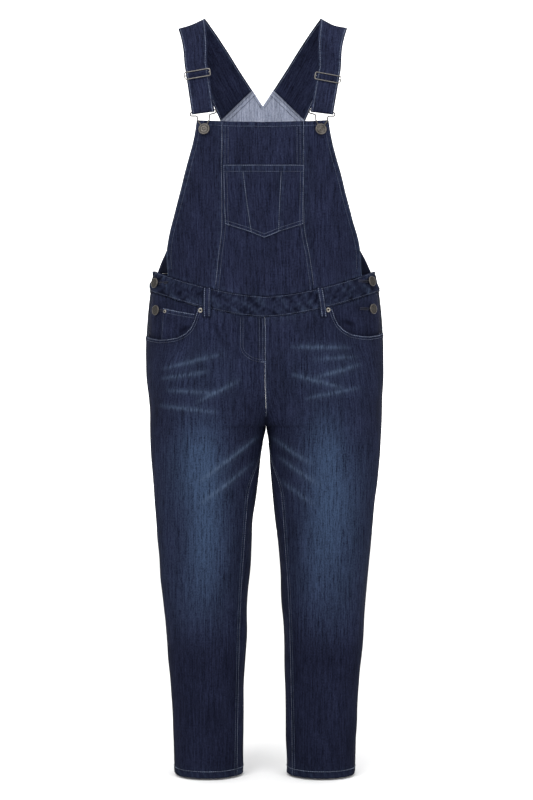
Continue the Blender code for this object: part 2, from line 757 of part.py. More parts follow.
pocket_out = POCKET_WALL + LAYER_GAP
seams = rows_of(POCKET_SEAMS)
pocket_parts = (
    ("bib_pocket_side_r", lambda h: pocket_side(h, -1), lambda h: pocket_seam(h, seams[0]) - SEAM_GAP, 2),
    (
        "bib_pocket_centre",
        lambda h: pocket_seam(h, seams[0]) + SEAM_GAP,
        lambda h: pocket_seam(h, seams[1]) - SEAM_GAP,
        4,
    ),
    ("bib_pocket_side_l", lambda h: pocket_seam(h, seams[1]) + SEAM_GAP, lambda h: pocket_side(h, 1), 2),
)
for name, first, last, columns in pocket_parts:
    t = np.linspace(0.0, 1.0, columns + 1)[None, :]
    v = np.linspace(0.0, 1.0, 6)[:, None]
    low_x = first(POCKET_KNEE_Z) + (last(POCKET_KNEE_Z) - first(POCKET_KNEE_Z)) * t
    z = POCKET_TOP_Z + (pocket_bottom_z(low_x) - POCKET_TOP_Z) * v
    x = first(z) + (last(z) - first(z)) * t + POCKET_SHIFT
    sheet(name, *on_body("front", x, z, pocket_out), POCKET_WALL)

# Belt loops over the front waistband
for row in rows_of(BELT_LOOPS):
    v = np.linspace(0.0, 1.0, 7)[:, None]
    t = np.linspace(-0.5, 0.5, 3)[None, :]
    z = LOOP_TOP_Z + (LOOP_BOTTOM_Z - LOOP_TOP_Z) * v + 0.0 * t
    centre = row["top_x"] + (row["bottom_x"] - row["top_x"]) * v
    x = row["side"] * (centre + row["width"] * t)
    out = band_out + LOOP_SEAT + POCKET_WALL + LOOP_SWELL * np.sin(math.pi * v) + 0.0 * t
    tag = "l" if row["side"] > 0 else "r"
    sheet("belt_loop_" + tag, *on_body("front", x, z, out), POCKET_WALL)


# High back panel with a notched top, its wrong side seen past the bib
def back_edge_x(z):
    return column(BACK_EDGE, "z", "x", z)


edge_top = rows_of(BACK_EDGE)[0]
edge_low_z = float(band_top_z("back", np.array(0.2000)))
middle_low_z = float(band_top_z("back", np.array(0.0)))
half = np.concatenate((np.linspace(0.0, HORN_COLUMN, 3), np.linspace(HORN_COLUMN, 1.0, 6)[1:]))
c = half[None, :]
v = np.linspace(0.0, 1.0, 13)[:, None]
horn_share = HORN_X / edge_top["x"]
horn_rise = (HORN_Z - NOTCH_Z) / (edge_top["z"] - NOTCH_Z)
inside = c <= HORN_COLUMN
beyond = (c - HORN_COLUMN) / (1.0 - HORN_COLUMN)
top_g = np.where(inside, horn_share * c / HORN_COLUMN, horn_share + (1.0 - horn_share) * beyond)
top_h = np.where(inside, horn_rise * c / HORN_COLUMN, horn_rise + (1.0 - horn_rise) * beyond)
edge_z = edge_low_z + (edge_top["z"] - edge_low_z) * v
middle_z = middle_low_z + (NOTCH_Z - middle_low_z) * v
x = back_edge_x(edge_z) * (c + (top_g - c) * v)
z = middle_z + (edge_z - middle_z) * (c**2 + (top_h - c**2) * v**3)
points, normals = on_body("back", np.concatenate((-x[:, :0:-1], x), axis=1),
                          np.concatenate((z[:, :0:-1], z), axis=1))
sheet("back_bib", points, normals, DENIM, rgb=INSIDE_RGB)


# Straps: over the shoulder, through the slider, round the hook's bar and back up
def unit(v):
    return v / np.linalg.norm(v)


def hook_frame(side):
    """The bib button's place and normal, and the hook bar's place, width and downward direction."""
    place, normal = on_body("front", np.array(side * BIB_BUTTON_X), np.array(BIB_BUTTON_Z))
    up = np.array((side * BAR_SHIFT, 0.0, BAR_RISE))
    up = up - normal * float(np.dot(up, normal))
    bar = place + normal * HOOK_SEAT + up
    down = -unit(up)
    width = unit(np.cross(normal, down))
    return place, normal, bar, width * side * np.sign(width[0]), down


def strap_frame(side):
    """Origin at the slider, with the directions along, across and out of the lower strap."""
    mirror = np.array((side, 1.0, 1.0))
    slider = np.array(SLIDER_AT) * mirror + np.array((LEAN, 0.0, -side * SLIDER_STEP))
    bar = hook_frame(side)[2]
    along = unit(bar - slider)
    width = np.array((side * math.cos(STRAP_TILT), 0.0, -math.sin(STRAP_TILT)))
    width = unit(width - along * float(np.dot(width, along)))
    out = np.cross(width, along)
    out *= -np.sign(out[1])
    return slider, along, width, out, float(np.linalg.norm(bar - slider))


def strap(name, side):
    origin, along, width, out, length = strap_frame(side)
    mirror = np.array((side, 1.0, 1.0))
    shift = np.array((LEAN, 0.0, 0.0))
    inner = []
    outer = []
    for row in rows_of(STRAP_RAILS):
        inner.append(np.array((row["inner_x"], row["inner_y"], row["inner_z"])) * mirror + shift)
        outer.append(np.array((row["outer_x"], row["outer_y"], row["outer_z"])) * mirror + shift)
    path = [(r["along"], r["out"]) for r in rows_of(STRAP_PATH)]
    for angle in np.linspace(90.0, -90.0, 7):
        turn = math.radians(angle)
        path.append((length + WRAP_RADIUS * math.cos(turn), WRAP_RADIUS * math.sin(turn)))
    path += [(r["along"], r["out"]) for r in rows_of(TAIL_PATH)]
    bar_width = hook_frame(side)[3]
    for d, n in path:
        centre = origin + along * d + out * n
        lay = unit(width + (bar_width - width) * float(ease(d / length)))
        inner.append(centre - lay * STRAP_LOW_HALF)
        outer.append(centre + lay * STRAP_LOW_HALF)
    inner = np.array(inner)
    outer = np.array(outer)
    t = np.linspace(0.0, 1.0, 4)[None, :, None]
    points = inner[:, None, :] + (outer - inner)[:, None, :] * t
    run = np.gradient(points, axis=0)
    normals = np.cross(run, (outer - inner)[:, None, :] + 0.0 * points)
    normals *= side
    return sheet(name, points, normals, STRAP_WALL, centred=True)


for tag, side in SIDES:
    strap("strap_" + tag, side)

# Wire sliders with a middle bar
for tag, side in SIDES:
    origin, along, width, out, length = strap_frame(side)
    corners = [(1, -1), (1, 1), (-1, 1), (-1, -1)]
    outline = [origin + width * SLIDER_HALF * a + along * SLIDER_HALF_HEIGHT * b for a, b in corners]
    frame = wire("slider_frame_" + tag, rounded_loop(outline, 0.0035, 4), SLIDER_WIRE)
    bpy.context.scene.collection.objects.link(frame)
    slider = as_mesh(frame, "slider_" + tag)
    finish(slider, METAL_RGB, 0.40, 1.0)
    ends = 2.0 * (SLIDER_HALF - 0.0002)
    bpy.ops.mesh.primitive_cylinder_add(vertices=8, radius=0.5 * SLIDER_WIRE, depth=ends, location=origin)
    bar = bpy.context.active_object
    bar.name = "slider_bar_" + tag
    bar.rotation_mode = "QUATERNION"
    bar.rotation_quaternion = Vector((0.0, 0.0, 1.0)).rotation_difference(Vector(width))
    for owner in list(bar.users_collection):
        owner.objects.unlink(bar)
    cutters.objects.link(bar)
    bar.hide_render = True
    bar.display_type = "WIRE"
    boolean(slider, bar, "UNION")

# Bib buttons, and the wire hooks that hang on their shanks
for tag, side in SIDES:
    where, normal, bar, width, down = hook_frame(side)
    profile = [(r["radius"] * BUTTON_RADIUS, r["height"]) for r in rows_of(BUTTON_PROFILE)]
    profile += [(SHANK_RADIUS, 0.0043), (SHANK_RADIUS, BUTTON_BASE), (0.0, BUTTON_BASE)]
    turned("bib_button_" + tag, profile, where, normal, METAL_RGB, 18)
    reach = float(np.linalg.norm(where + normal * HOOK_SEAT - bar))
    rows = rows_of(HOOK_PATH)
    stretch = (reach + SHANK_RADIUS + 0.5 * HOOK_WIRE + 0.0005) / rows[-1]["down"]
    half_path = [(r["across"], r["down"] * stretch) for r in rows]
    outline = half_path + [(-a, d) for a, d in half_path[::-1]]
    loop = [bar + width * a + down * d for a, d in outline]
    finish(wire("hook_" + tag, rounded_loop(loop, HOOK_BEND, 3), HOOK_WIRE), METAL_RGB, 0.35, 1.0)

# Side buttons
LAYERS = {"panel": 0.0, "band": band_out + 0.0008, "facing": facing_out, "coin": coin_out}
for row in rows_of(SIDE_BUTTONS):
    x = np.array(row["side"] * row["x"])
    where, normal = on_body("front", x, np.array(row["z"]), LAYERS[row["layer"]])
    axis = normal + np.array((0.0, -BUTTON_TURN, 0.0))
    axis /= np.linalg.norm(axis)
    profile = [(r["radius"] * SIDE_BUTTON_RADIUS, r["height"]) for r in rows_of(BUTTON_PROFILE)]
    profile += [(SHANK_RADIUS, 0.0043), (SHANK_RADIUS, BUTTON_BASE), (0.0, BUTTON_BASE)]
    turned(row["name"], profile, where + normal * SIDE_BUTTON_LIFT, axis, METAL_RGB, 16)

# Rivets
for row in rows_of(RIVETS):
    x = np.array(row["side"] * row["x"])
    where, normal = on_body("front", x, np.array(row["z"]), LAYERS[row["layer"]])
    profile = [(r["radius"] * row["size"], r["height"]) for r in rows_of(RIVET_PROFILE)]
    profile.append((0.0, profile[-1][1]))
    turned(row["name"], profile, where, normal, RIVET_RGB, 14)
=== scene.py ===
import math

import bmesh
import bpy
import numpy as np
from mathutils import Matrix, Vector


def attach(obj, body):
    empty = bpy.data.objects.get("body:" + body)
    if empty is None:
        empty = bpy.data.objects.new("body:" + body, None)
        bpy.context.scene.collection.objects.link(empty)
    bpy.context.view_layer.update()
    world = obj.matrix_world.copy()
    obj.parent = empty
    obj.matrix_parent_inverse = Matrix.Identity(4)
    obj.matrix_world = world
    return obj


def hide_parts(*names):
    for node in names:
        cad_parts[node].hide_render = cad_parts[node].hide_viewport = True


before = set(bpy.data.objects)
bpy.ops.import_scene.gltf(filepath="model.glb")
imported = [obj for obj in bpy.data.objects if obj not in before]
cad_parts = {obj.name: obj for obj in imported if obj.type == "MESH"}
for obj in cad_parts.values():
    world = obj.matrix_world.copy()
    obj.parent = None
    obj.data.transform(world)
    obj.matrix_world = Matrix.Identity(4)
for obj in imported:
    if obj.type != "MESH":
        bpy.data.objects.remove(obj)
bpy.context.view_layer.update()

# Main heights of the garment, in metres, Z = 0 at the top of the straps
BIB_TOP_Z = -0.2068
BIB_CORNER_RISE = 0.0034
WAIST_FRONT_Z = -0.5560
WAIST_SIDE_RISE = 0.0510
WAIST_SIDE_X = 0.2120
WAIST_CURVE = 1.6
WAIST_BACK_Z = -0.4950
WAIST_BACK_DROP = 0.0100
WAIST_LEVEL_Z = -0.5200
BAND_TOP_LEVEL_Z = -0.4800
BAND_HEIGHT = 0.0375
CROTCH_Z = -0.7520
HEM_Z = -1.3920
HEM_DEPTH = 0.0150

# Cloth and clearances
DENIM = 0.0013
HEM_WALL = 0.0026
BAND_WALL = 0.0024
STRAP_WALL = 0.0020
POCKET_WALL = 0.0012
SEAM_GAP = 0.00005
LAYER_GAP = 0.0005
CAD_DENIM = 0.0016

# Body form, one half of the garment
BODY_COLUMNS = ("z", "half_width", "inner_x", "front_y", "back_y", "mid_x")
BODY = (
    (-0.100, 0.1720, 0.0001, -0.080, 0.084, 0.085),
    (-0.150, 0.1810, 0.0001, -0.096, 0.096, 0.085),
    (-0.205, 0.1870, 0.0001, -0.112, 0.104, 0.080),
    (-0.260, 0.1890, 0.0001, -0.123, 0.108, 0.065),
    (-0.320, 0.1900, 0.0001, -0.128, 0.109, 0.050),
    (-0.380, 0.1920, 0.0001, -0.126, 0.109, 0.040),
    (-0.430, 0.1970, 0.0001, -0.121, 0.111, 0.030),
    (-0.470, 0.2040, 0.0001, -0.118, 0.116, 0.030),
    (-0.505, 0.2115, 0.0001, -0.119, 0.124, 0.040),
    (-0.556, 0.2174, 0.0001, -0.120, 0.135, 0.050),
    (-0.600, 0.2200, 0.0001, -0.119, 0.142, 0.060),
    (-0.650, 0.2203, 0.0001, -0.116, 0.144, 0.080),
    (-0.704, 0.2165, 0.0001, -0.111, 0.139, 0.100),
    (-0.752, 0.2140, 0.0001, -0.106, 0.128, 0.107),
    (-0.778, 0.2125, 0.0046, -0.104, 0.121, 0.108),
    (-0.815, 0.2100, 0.0083, -0.101, 0.114, 0.109),
    (-0.852, 0.2068, 0.0130, -0.099, 0.108, 0.110),
    (-0.889, 0.2035, 0.0167, -0.096, 0.103, 0.110),
    (-0.963, 0.1970, 0.0230, -0.090, 0.095, 0.110),
    (-1.074, 0.1869, 0.0315, -0.079, 0.087, 0.109),
    (-1.148, 0.1813, 0.0346, -0.071, 0.084, 0.108),
    (-1.222, 0.1748, 0.0370, -0.065, 0.080, 0.106),
    (-1.296, 0.1702, 0.0389, -0.061, 0.074, 0.1045),
    (-1.393, 0.1672, 0.0404, -0.056, 0.067, 0.1035),
)
SQUARENESS = 2.3
FRONT_RISE = 0.110
BACK_RISE = 0.170
SADDLE = 0.060
INSEAM_TURN = 0.36
INSEAM_TURN_DROP = 0.130
LEAN = -0.0037
LEAN_TOP_Z = -0.340
LEAN_BOTTOM_Z = -0.520
WARP_SPREAD = 6.0
HIP_SHIFT = 0.0028
HIP_SHIFT_Z = -0.745
HIP_SHIFT_REACH = 0.060

# Bib
BIB_EDGE = (
    ("z", "x"),
    (-0.195, 0.1165),
    (-0.236, 0.1232),
    (-0.307, 0.1414),
    (-0.378, 0.1609),
    (-0.413, 0.1708),
    (-0.431, 0.1740),
    (-0.450, 0.1754),
    (-0.500, 0.1752),
)
BIB_SEAM = (
    ("z", "x"),
    (-0.195, 0.0714),
    (-0.386, 0.0714),
    (-0.450, 0.0800),
    (-0.520, 0.0880),
)
POCKET_TOP_Z = -0.2850
POCKET_SHIFT = 0.0020
POCKET_TOP_HALF = 0.0727
POCKET_LOW_HALF = 0.0703
POCKET_CORNER_Z = -0.3907
POCKET_KNEE_X = 0.0270
POCKET_KNEE_Z = -0.4044
POCKET_TIP_Z = -0.4152
POCKET_SEAMS = (
    ("top_x", "bottom_x"),
    (-0.0404, -0.0249),
    (0.0336, 0.0274),
)

# Pocket mouths, coin pocket and belt loops
MOUTH = (
    ("x", "z"),
    (0.1175, -0.5300),
    (0.1205, -0.5420),
    (0.1255, -0.5580),
    (0.1320, -0.5710),
    (0.1420, -0.5810),
    (0.1560, -0.5880),
    (0.1750, -0.5910),
    (0.1900, -0.5910),
    (0.2050, -0.5880),
    (0.2180, -0.5830),
)
MOUTH_SHIFT = 0.0030
FACING_INNER_U = 0.62
FACING_BOTTOM_Z = -0.6300
COIN_OUTER_U = 0.345
COIN_INNER_U = 0.575
COIN_OUTER_Z = -0.5362
COIN_INNER_Z = -0.5494
COIN_BOTTOM_Z = -0.6120
BELT_LOOPS = (
    ("side", "top_x", "bottom_x", "width"),
    (-1, 0.1020, 0.1025, 0.0150),
    (1, 0.0980, 0.1056, 0.0120),
)
LOOP_TOP_Z = -0.5025
LOOP_BOTTOM_Z = -0.5560
LOOP_SEAT = 0.0003
LOOP_SWELL = 0.0022

# Back panel
BACK_EDGE = (
    ("z", "x"),
    (-0.1706, 0.0811),
    (-0.2000, 0.0880),
    (-0.2500, 0.1010),
    (-0.3000, 0.1195),
    (-0.3500, 0.1445),
    (-0.4000, 0.1705),
    (-0.4340, 0.1873),
    (-0.4675, 0.2000),
)
NOTCH_Z = -0.1446
HORN_X = 0.0206
HORN_Z = -0.1142
HORN_COLUMN = 0.3

# Straps and their hardware
STRAP_RAILS = (
    ("inner_x", "inner_y", "inner_z", "outer_x", "outer_y", "outer_z"),
    (0.0211, 0.0868, -0.1137, 0.0816, 0.0987, -0.1701),
    (0.0440, 0.0800, -0.0800, 0.1000, 0.0885, -0.1300),
    (0.0680, 0.0640, -0.0440, 0.1220, 0.0710, -0.0830),
    (0.0900, 0.0400, -0.0150, 0.1420, 0.0420, -0.0400),
    (0.1015, 0.0180, -0.0030, 0.1520, 0.0190, -0.0230),
    (0.1053, -0.0020, -0.0012, 0.1555, -0.0020, -0.0192),
    (0.1050, -0.0220, -0.0070, 0.1540, -0.0220, -0.0250),
    (0.1030, -0.0420, -0.0280, 0.1490, -0.0420, -0.0430),
    (0.1005, -0.0580, -0.0580, 0.1440, -0.0580, -0.0690),
)
STRAP_LOW_HALF = 0.0205
SLIDER_AT = (0.1180, -0.0790, -0.1182)
SLIDER_STEP = 0.0033
BAR_RISE = 0.0349
BAR_SHIFT = 0.0036
STRAP_TILT = 0.2080
STRAP_PATH = (
    ("along", "out"),
    (-0.0240, -0.0026),
    (-0.0130, -0.0030),
    (-0.0075, -0.0030),
    (-0.0037, 0.0000),
    (0.0000, 0.0030),
    (0.0037, 0.0000),
    (0.0075, -0.0030),
    (0.0130, -0.0030),
    (0.0360, -0.0016),
    (0.0620, 0.0012),
)
TAIL_PATH = (
    ("along", "out"),
    (0.0620, -0.0030),
    (0.0360, -0.0042),
    (0.0130, -0.0056),
    (0.0075, -0.0056),
    (0.0045, -0.0046),
    (0.0022, -0.0034),
)
WRAP_RADIUS = 0.0027
HOOK_WIRE = 0.0024
HOOK_SEAT = 0.0026
HOOK_PATH = (
    ("across", "down"),
    (0.0235, 0.0000),
    (0.0235, 0.0050),
    (0.0110, 0.0062),
    (0.0105, 0.0140),
    (0.0047, 0.0215),
    (0.0047, 0.0314),
)
SLIDER_WIRE = 0.0020
SLIDER_HALF = 0.0233
SLIDER_HALF_HEIGHT = 0.0075
BIB_BUTTON_X = 0.1034
BIB_BUTTON_Z = -0.2216
BUTTON_RADIUS = 0.0102
SIDE_BUTTON_RADIUS = 0.0092
BUTTON_PROFILE = (
    ("radius", "height"),
    (0.00, 0.0064),
    (0.10, 0.0065),
    (0.22, 0.0063),
    (0.26, 0.0060),
    (0.30, 0.0060),
    (0.34, 0.0063),
    (0.50, 0.0062),
    (0.66, 0.0058),
    (0.71, 0.0056),
    (0.75, 0.0060),
    (0.79, 0.0064),
    (0.88, 0.0065),
    (0.96, 0.0062),
    (1.00, 0.0056),
    (1.00, 0.0049),
    (0.97, 0.0045),
    (0.90, 0.0043),
)
SHANK_RADIUS = 0.0028
BUTTON_BASE = 0.0004
SIDE_BUTTONS = (
    ("name", "side", "x", "z", "layer"),
    ("side_button_upper_r", -1, 0.1950, -0.4920, "band"),
    ("side_button_lower_r", -1, 0.1985, -0.5405, "facing"),
    ("side_button_upper_l", 1, 0.1910, -0.4890, "band"),
    ("side_button_lower_l", 1, 0.1960, -0.5385, "facing"),
)
BUTTON_TURN = 0.25
SIDE_BUTTON_LIFT = 0.0002
RIVETS = (
    ("name", "side", "x", "z", "layer", "size"),
    ("rivet_pocket_r", -1, 0.1145, -0.5435, "panel", 1.0),
    ("rivet_pocket_l", 1, 0.1135, -0.5425, "panel", 1.0),
    ("rivet_coin_r", -1, 0.1825, -0.5432, "coin", 0.75),
)
RIVET_PROFILE = (
    ("radius", "height"),
    (0.0000, 0.0008),
    (0.0010, 0.0008),
    (0.0016, 0.0007),
    (0.0021, 0.0013),
    (0.0027, 0.0016),
    (0.0034, 0.0015),
    (0.0041, 0.0011),
    (0.0045, 0.0006),
    (0.0045, 0.0004),
)

# Profile of a near-black disc in the rivet's hollow centre: painted shade in the hole
RIVET_EYE = (
    ("radius", "height"),
    (0.0000, 0.00105),
    (0.0018, 0.00105),
    (0.0020, 0.0006),
    (0.0000, 0.0006),
)

# Largest folds, as in the solids
FOLDS = (
    ("face", "x0", "z0", "x1", "z1", "spread", "height"),
    ("front", -0.187, -0.650, -0.065, -0.618, 0.013, 0.0022),
    ("front", -0.195, -0.715, -0.075, -0.728, 0.014, 0.0022),
    ("front", -0.112, -0.850, -0.026, -0.780, 0.013, 0.0028),
    ("front", -0.110, -0.900, -0.028, -0.826, 0.013, 0.0022),
    ("front", -0.165, -1.050, -0.070, -1.075, 0.018, 0.0022),
    ("front", -0.150, -1.255, -0.065, -1.232, 0.018, 0.0020),
    ("front", 0.185, -0.640, 0.075, -0.664, 0.013, 0.0022),
    ("front", 0.185, -0.690, 0.065, -0.705, 0.014, 0.0022),
    ("front", 0.095, -0.832, 0.024, -0.782, 0.013, 0.0028),
    ("front", 0.095, -0.896, 0.032, -0.846, 0.013, 0.0022),
    ("front", 0.160, -1.066, 0.070, -1.050, 0.018, 0.0022),
    ("front", 0.145, -1.222, 0.060, -1.250, 0.018, 0.0020),
    ("back", -0.150, -0.800, -0.040, -0.850, 0.016, 0.0030),
    ("back", -0.155, -1.050, -0.055, -1.070, 0.016, 0.0032),
    ("back", -0.150, -1.120, -0.060, -1.100, 0.016, 0.0026),
    ("back", -0.140, -1.290, -0.060, -1.310, 0.018, 0.0024),
    ("back", 0.150, -0.810, 0.040, -0.845, 0.016, 0.0030),
    ("back", 0.150, -1.066, 0.055, -1.046, 0.016, 0.0032),
    ("back", 0.155, -1.105, 0.060, -1.125, 0.016, 0.0026),
    ("back", 0.140, -1.300, 0.060, -1.284, 0.018, 0.0024),
)

# Worn crease lines across the hips and below the crotch: pale, slightly raised
WHISKERS = (
    ("x0", "z0", "x1", "z1", "pale"),
    (-0.187, -0.649, -0.069, -0.620, 0.55),
    (-0.190, -0.666, -0.096, -0.652, 0.60),
    (-0.182, -0.686, -0.087, -0.691, 0.50),
    (-0.127, -0.710, -0.041, -0.666, 0.65),
    (-0.195, -0.713, -0.084, -0.726, 0.60),
    (0.041, -0.609, 0.156, -0.610, 0.55),
    (0.083, -0.631, 0.170, -0.626, 0.45),
    (0.086, -0.665, 0.175, -0.639, 0.65),
    (0.045, -0.657, 0.139, -0.682, 0.65),
    (0.067, -0.702, 0.175, -0.680, 0.55),
    (-0.122, -0.854, -0.012, -0.768, 0.80),
    (-0.122, -0.895, -0.016, -0.814, 0.66),
    (0.006, -0.769, 0.088, -0.821, 0.62),
    (0.020, -0.804, 0.102, -0.860, 0.62),
    (0.026, -0.848, 0.093, -0.894, 0.52),
)


# Painted shade along the creases at the pocket mouths, the fly and the crotch
POCKET_CREASES = (
    ("x0", "z0", "x1", "z1", "dark"),
    (-0.1335, -0.5700, -0.1560, -0.5830, 0.95),
    (0.1385, -0.5600, 0.1660, -0.5690, 0.95),
    (0.1640, -0.5330, 0.1820, -0.5450, 0.40),
    (-0.1600, -0.5230, -0.1300, -0.5450, 0.35),
)
LEG_CREASES = (
    ("x0", "z0", "x1", "z1", "dark"),
    (-0.0960, -0.5560, -0.0690, -0.6110, 0.55),
    (-0.0560, -0.6080, -0.0390, -0.6330, 0.30),
    (0.0820, -0.5560, 0.0640, -0.6060, 0.25),
    (0.0500, -0.7000, 0.0180, -0.7250, 0.30),
    (-0.0500, -0.7050, -0.0160, -0.7300, 0.30),
)

# Short bars of close stitches where a seam is held
TACKS = (
    ("x", "z", "dx", "dz"),
    (-0.0030, -0.6355, 0.0070, 0.0000),
    (-0.2105, -0.5925, 0.0000, 0.0060),
    (0.2085, -0.5845, 0.0000, 0.0060),
)

# Grids, relief and stitching
SIDES = (("r", -1), ("l", 1))
GRAIN_X = 0.106
FRONT_GRID = {"columns": 104, "above": 84, "below": 139}
BACK_GRID = {"columns": 80, "above": 66, "below": 104}
GRID_CROWD_ABOVE = 1.15
GRID_CROWD_BELOW = 1.04
HEM_ROWS = 9
HEM_SEAM_GAP = 0.0004
WHISKER_HEIGHT = 0.0009
WHISKER_SPREAD = 0.0042
LEG_ROPE = 0.00045
BIB_ROPE = 0.00035
PATCH_ROPE = 0.0003
POCKET_GAPE = 0.0012
STITCH_OUT = 0.00040
HEM_ROW_RISE = 0.0125
INSEAM_ROW = 0.0022
INSEAM_SOFT_ROW = 0.0085
SEAT_ROWS = (0.0025, 0.0085)
MOUTH_ROWS = (0.0018, 0.0062)
STRAP_ROW = 0.0032
STRAP_BACK_ROWS = 8
STITCH_STEPS = 90
WIRE_SHARP_ANGLE = 60
FLY_X = -0.0430
FLY_BEND_Z = -0.6060
FLY_BEND_WIDTH = 0.0410
FLY_BEND_DROP = 0.0300

# Weave of the denim, in waves for each metre across and along the warp
LONG_SLUB = (330.0, 13.0, 1.0)
SHORT_SLUB = (500.0, 60.0, 1.0)
FINE_GRAIN = (430.0, 330.0, 1.0)
CLOUD = (24.0, 10.0, 1.0)
TWILL = (1000.0, 620.0, 1.0)

# Studio
FLOOR_Z = HEM_Z - 0.004
FLOOR_HALF = 6.0
BACKDROP_HALF = 8.0
WORLD_STRENGTH = 0.62
CAMERA_PLACE = (0.0033, -3.3, -0.7036)
CAMERA_LENS = 80.27
CAMERA_SENSOR = 36.0
AREA_LIGHTS = (
    ("name", "place", "target", "size", "power"),
    ("key", (-1.6, -3.2, 1.4), (0, 0, -0.7), 2.4, 95),
    ("fill", (2.2, -3.0, 0.2), (0, 0, -0.8), 2.6, 60),
    ("top", (0.0, -0.4, 2.6), (0, 0, -0.7), 3.0, 90),
)


def rows_of(table):
    """Rows of a table whose first row names the columns."""
    names = table[0]
    return [dict(zip(names, row)) for row in table[1:]]


def curve_through(places, values, at):
    """Smooth curve through points that keeps rising or falling where they do."""
    order = np.argsort(places)
    x = np.asarray(places, float)[order]
    y = np.asarray(values, float)[order]
    steps = np.diff(x)
    slopes = np.diff(y) / steps
    tangent = np.zeros_like(x)
    tangent[0] = slopes[0]
    tangent[-1] = slopes[-1]
    same = slopes[1:] * slopes[:-1] > 0
    left = 2 * steps[1:] + steps[:-1]
    right = steps[1:] + 2 * steps[:-1]
    safe_a = np.where(same, slopes[:-1], 1.0)
    safe_b = np.where(same, slopes[1:], 1.0)
    mean = (left + right) / (left / safe_a + right / safe_b)
    tangent[1:-1] = np.where(same, mean, 0.0)
    at = np.clip(np.asarray(at, float), x[0], x[-1])
    i = np.clip(np.searchsorted(x, at) - 1, 0, len(x) - 2)
    t = (at - x[i]) / steps[i]
    start = (2 * t**3 - 3 * t**2 + 1) * y[i] + (t**3 - 2 * t**2 + t) * steps[i] * tangent[i]
    end = (3 * t**2 - 2 * t**3) * y[i + 1] + (t**3 - t**2) * steps[i] * tangent[i + 1]
    return start + end


def column(table, place, value, at):
    rows = rows_of(table)
    return curve_through([r[place] for r in rows], [r[value] for r in rows], at)


def body(value, z):
    return column((BODY_COLUMNS,) + BODY, "z", value, z)


def ease(t):
    t = np.clip(t, 0.0, 1.0)
    return t * t * (3.0 - 2.0 * t)


def unit(v):
    return v / np.linalg.norm(v)


def bell(distance, spread):
    return np.exp(-0.5 * (distance / spread) ** 2)


def fall(distance, reach):
    return np.exp(-((distance / reach) ** 2))


def running(points):
    """Distance run along a line of points, from 0."""
    step = np.linalg.norm(np.diff(points, axis=0), axis=1)
    return np.concatenate(([0.0], np.cumsum(step)))


def running_across(points):
    """Distance run along each row of a grid, from 0."""
    step = np.linalg.norm(np.diff(points, axis=1), axis=-1)
    return np.concatenate((np.zeros((len(points), 1)), np.cumsum(step, axis=1)), axis=1)


def lean(z):
    """Sideways shift of the upper garment, and the small one of the hips."""
    hips = HIP_SHIFT * np.exp(-(((z - HIP_SHIFT_Z) / HIP_SHIFT_REACH) ** 2))
    return hips + LEAN * ease((z - LEAN_BOTTOM_Z) / (LEAN_TOP_Z - LEAN_BOTTOM_Z))


def section(face, u, z):
    """Point of one half's section: u is 0 at the side seam and 1 at the centre seam or inseam."""
    half = body("half_width", z)
    inner = body("inner_x", z)
    mid = body("mid_x", z)
    front = body("front_y", z)
    back = body("back_y", z)
    side_y = 0.5 * (front + back)
    far = front if face == "front" else back
    rise = FRONT_RISE if face == "front" else BACK_RISE
    climb = np.clip((z - CROTCH_Z) / rise, 0.0, 1.0)
    end_y = side_y + (far - side_y) * np.sqrt(1.0 - (1.0 - climb) ** 2)
    other = back if face == "front" else front
    turn = INSEAM_TURN * ease((CROTCH_Z - z) / INSEAM_TURN_DROP) * (-1.0 if face == "front" else 1.0)
    outer_length = np.hypot(half - mid, far - side_y)
    inner_length = np.hypot(mid - inner, far - end_y) * (1.0 + turn)
    share = outer_length / (outer_length + inner_length)
    theta = np.clip(u / share, 0.0, 1.0) * 0.5 * math.pi
    c = np.cos(theta)
    s = np.sin(theta)
    reach = (np.abs(c) ** SQUARENESS + np.abs(s) ** SQUARENESS) ** (-1.0 / SQUARENESS)
    phi = np.clip((u - share) / (1.0 - share), 0.0, 1.0)
    sweep = 0.5 * math.pi * (1.0 + turn) * phi
    round_x = mid - (mid - inner) * np.sin(sweep)
    round_y = end_y + np.where(sweep <= 0.5 * math.pi, far - end_y, end_y - other) * np.cos(sweep)
    flat_x = mid - (mid - inner) * phi
    flat_y = far + (end_y - far) * 0.5 * (1.0 - np.cos(math.pi * phi))
    blend = ease((z - CROTCH_Z) / SADDLE)
    outer = u <= share
    x = np.where(outer, mid + (half - mid) * c * reach, round_x + (flat_x - round_x) * blend)
    y = np.where(outer, side_y + (far - side_y) * s * reach, round_y + (flat_y - round_y) * blend)
    return x, y


def half_girth(face, z):
    u = np.linspace(0.0, 1.0, 41)
    x, y = section(face, u, np.full_like(u, z))
    return float(np.sum(np.hypot(np.diff(x), np.diff(y))))


def girth_at(face, z):
    """Length of one half's section at each of many heights."""
    heights = np.linspace(-1.41, -0.10, 60)
    lengths = [half_girth(face, h) for h in heights]
    return np.interp(z, heights, lengths)


def across(face, x, z):
    """The u at which the section reaches half-width x."""
    x = np.abs(x)
    low = np.zeros_like(x + z)
    high = np.ones_like(x + z)
    for _ in range(26):
        middle = 0.5 * (low + high)
        wide = section(face, middle, z)[0] > x
        low = np.where(wide, middle, low)
        high = np.where(wide, high, middle)
    return 0.5 * (low + high)


def ridge(x, z, row, spread):
    """Soft ridge along a line, 1 on its crest, fading at its ends."""
    run = np.array((row["x1"] - row["x0"], row["z1"] - row["z0"]))
    length = float(np.hypot(*run))
    along = ((x - row["x0"]) * run[0] + (z - row["z0"]) * run[1]) / length**2
    off = ((x - row["x0"]) * run[1] - (z - row["z0"]) * run[0]) / length
    taper = np.sin(math.pi * np.clip(along, 0.0, 1.0)) ** 0.7
    return taper * bell(off, spread)


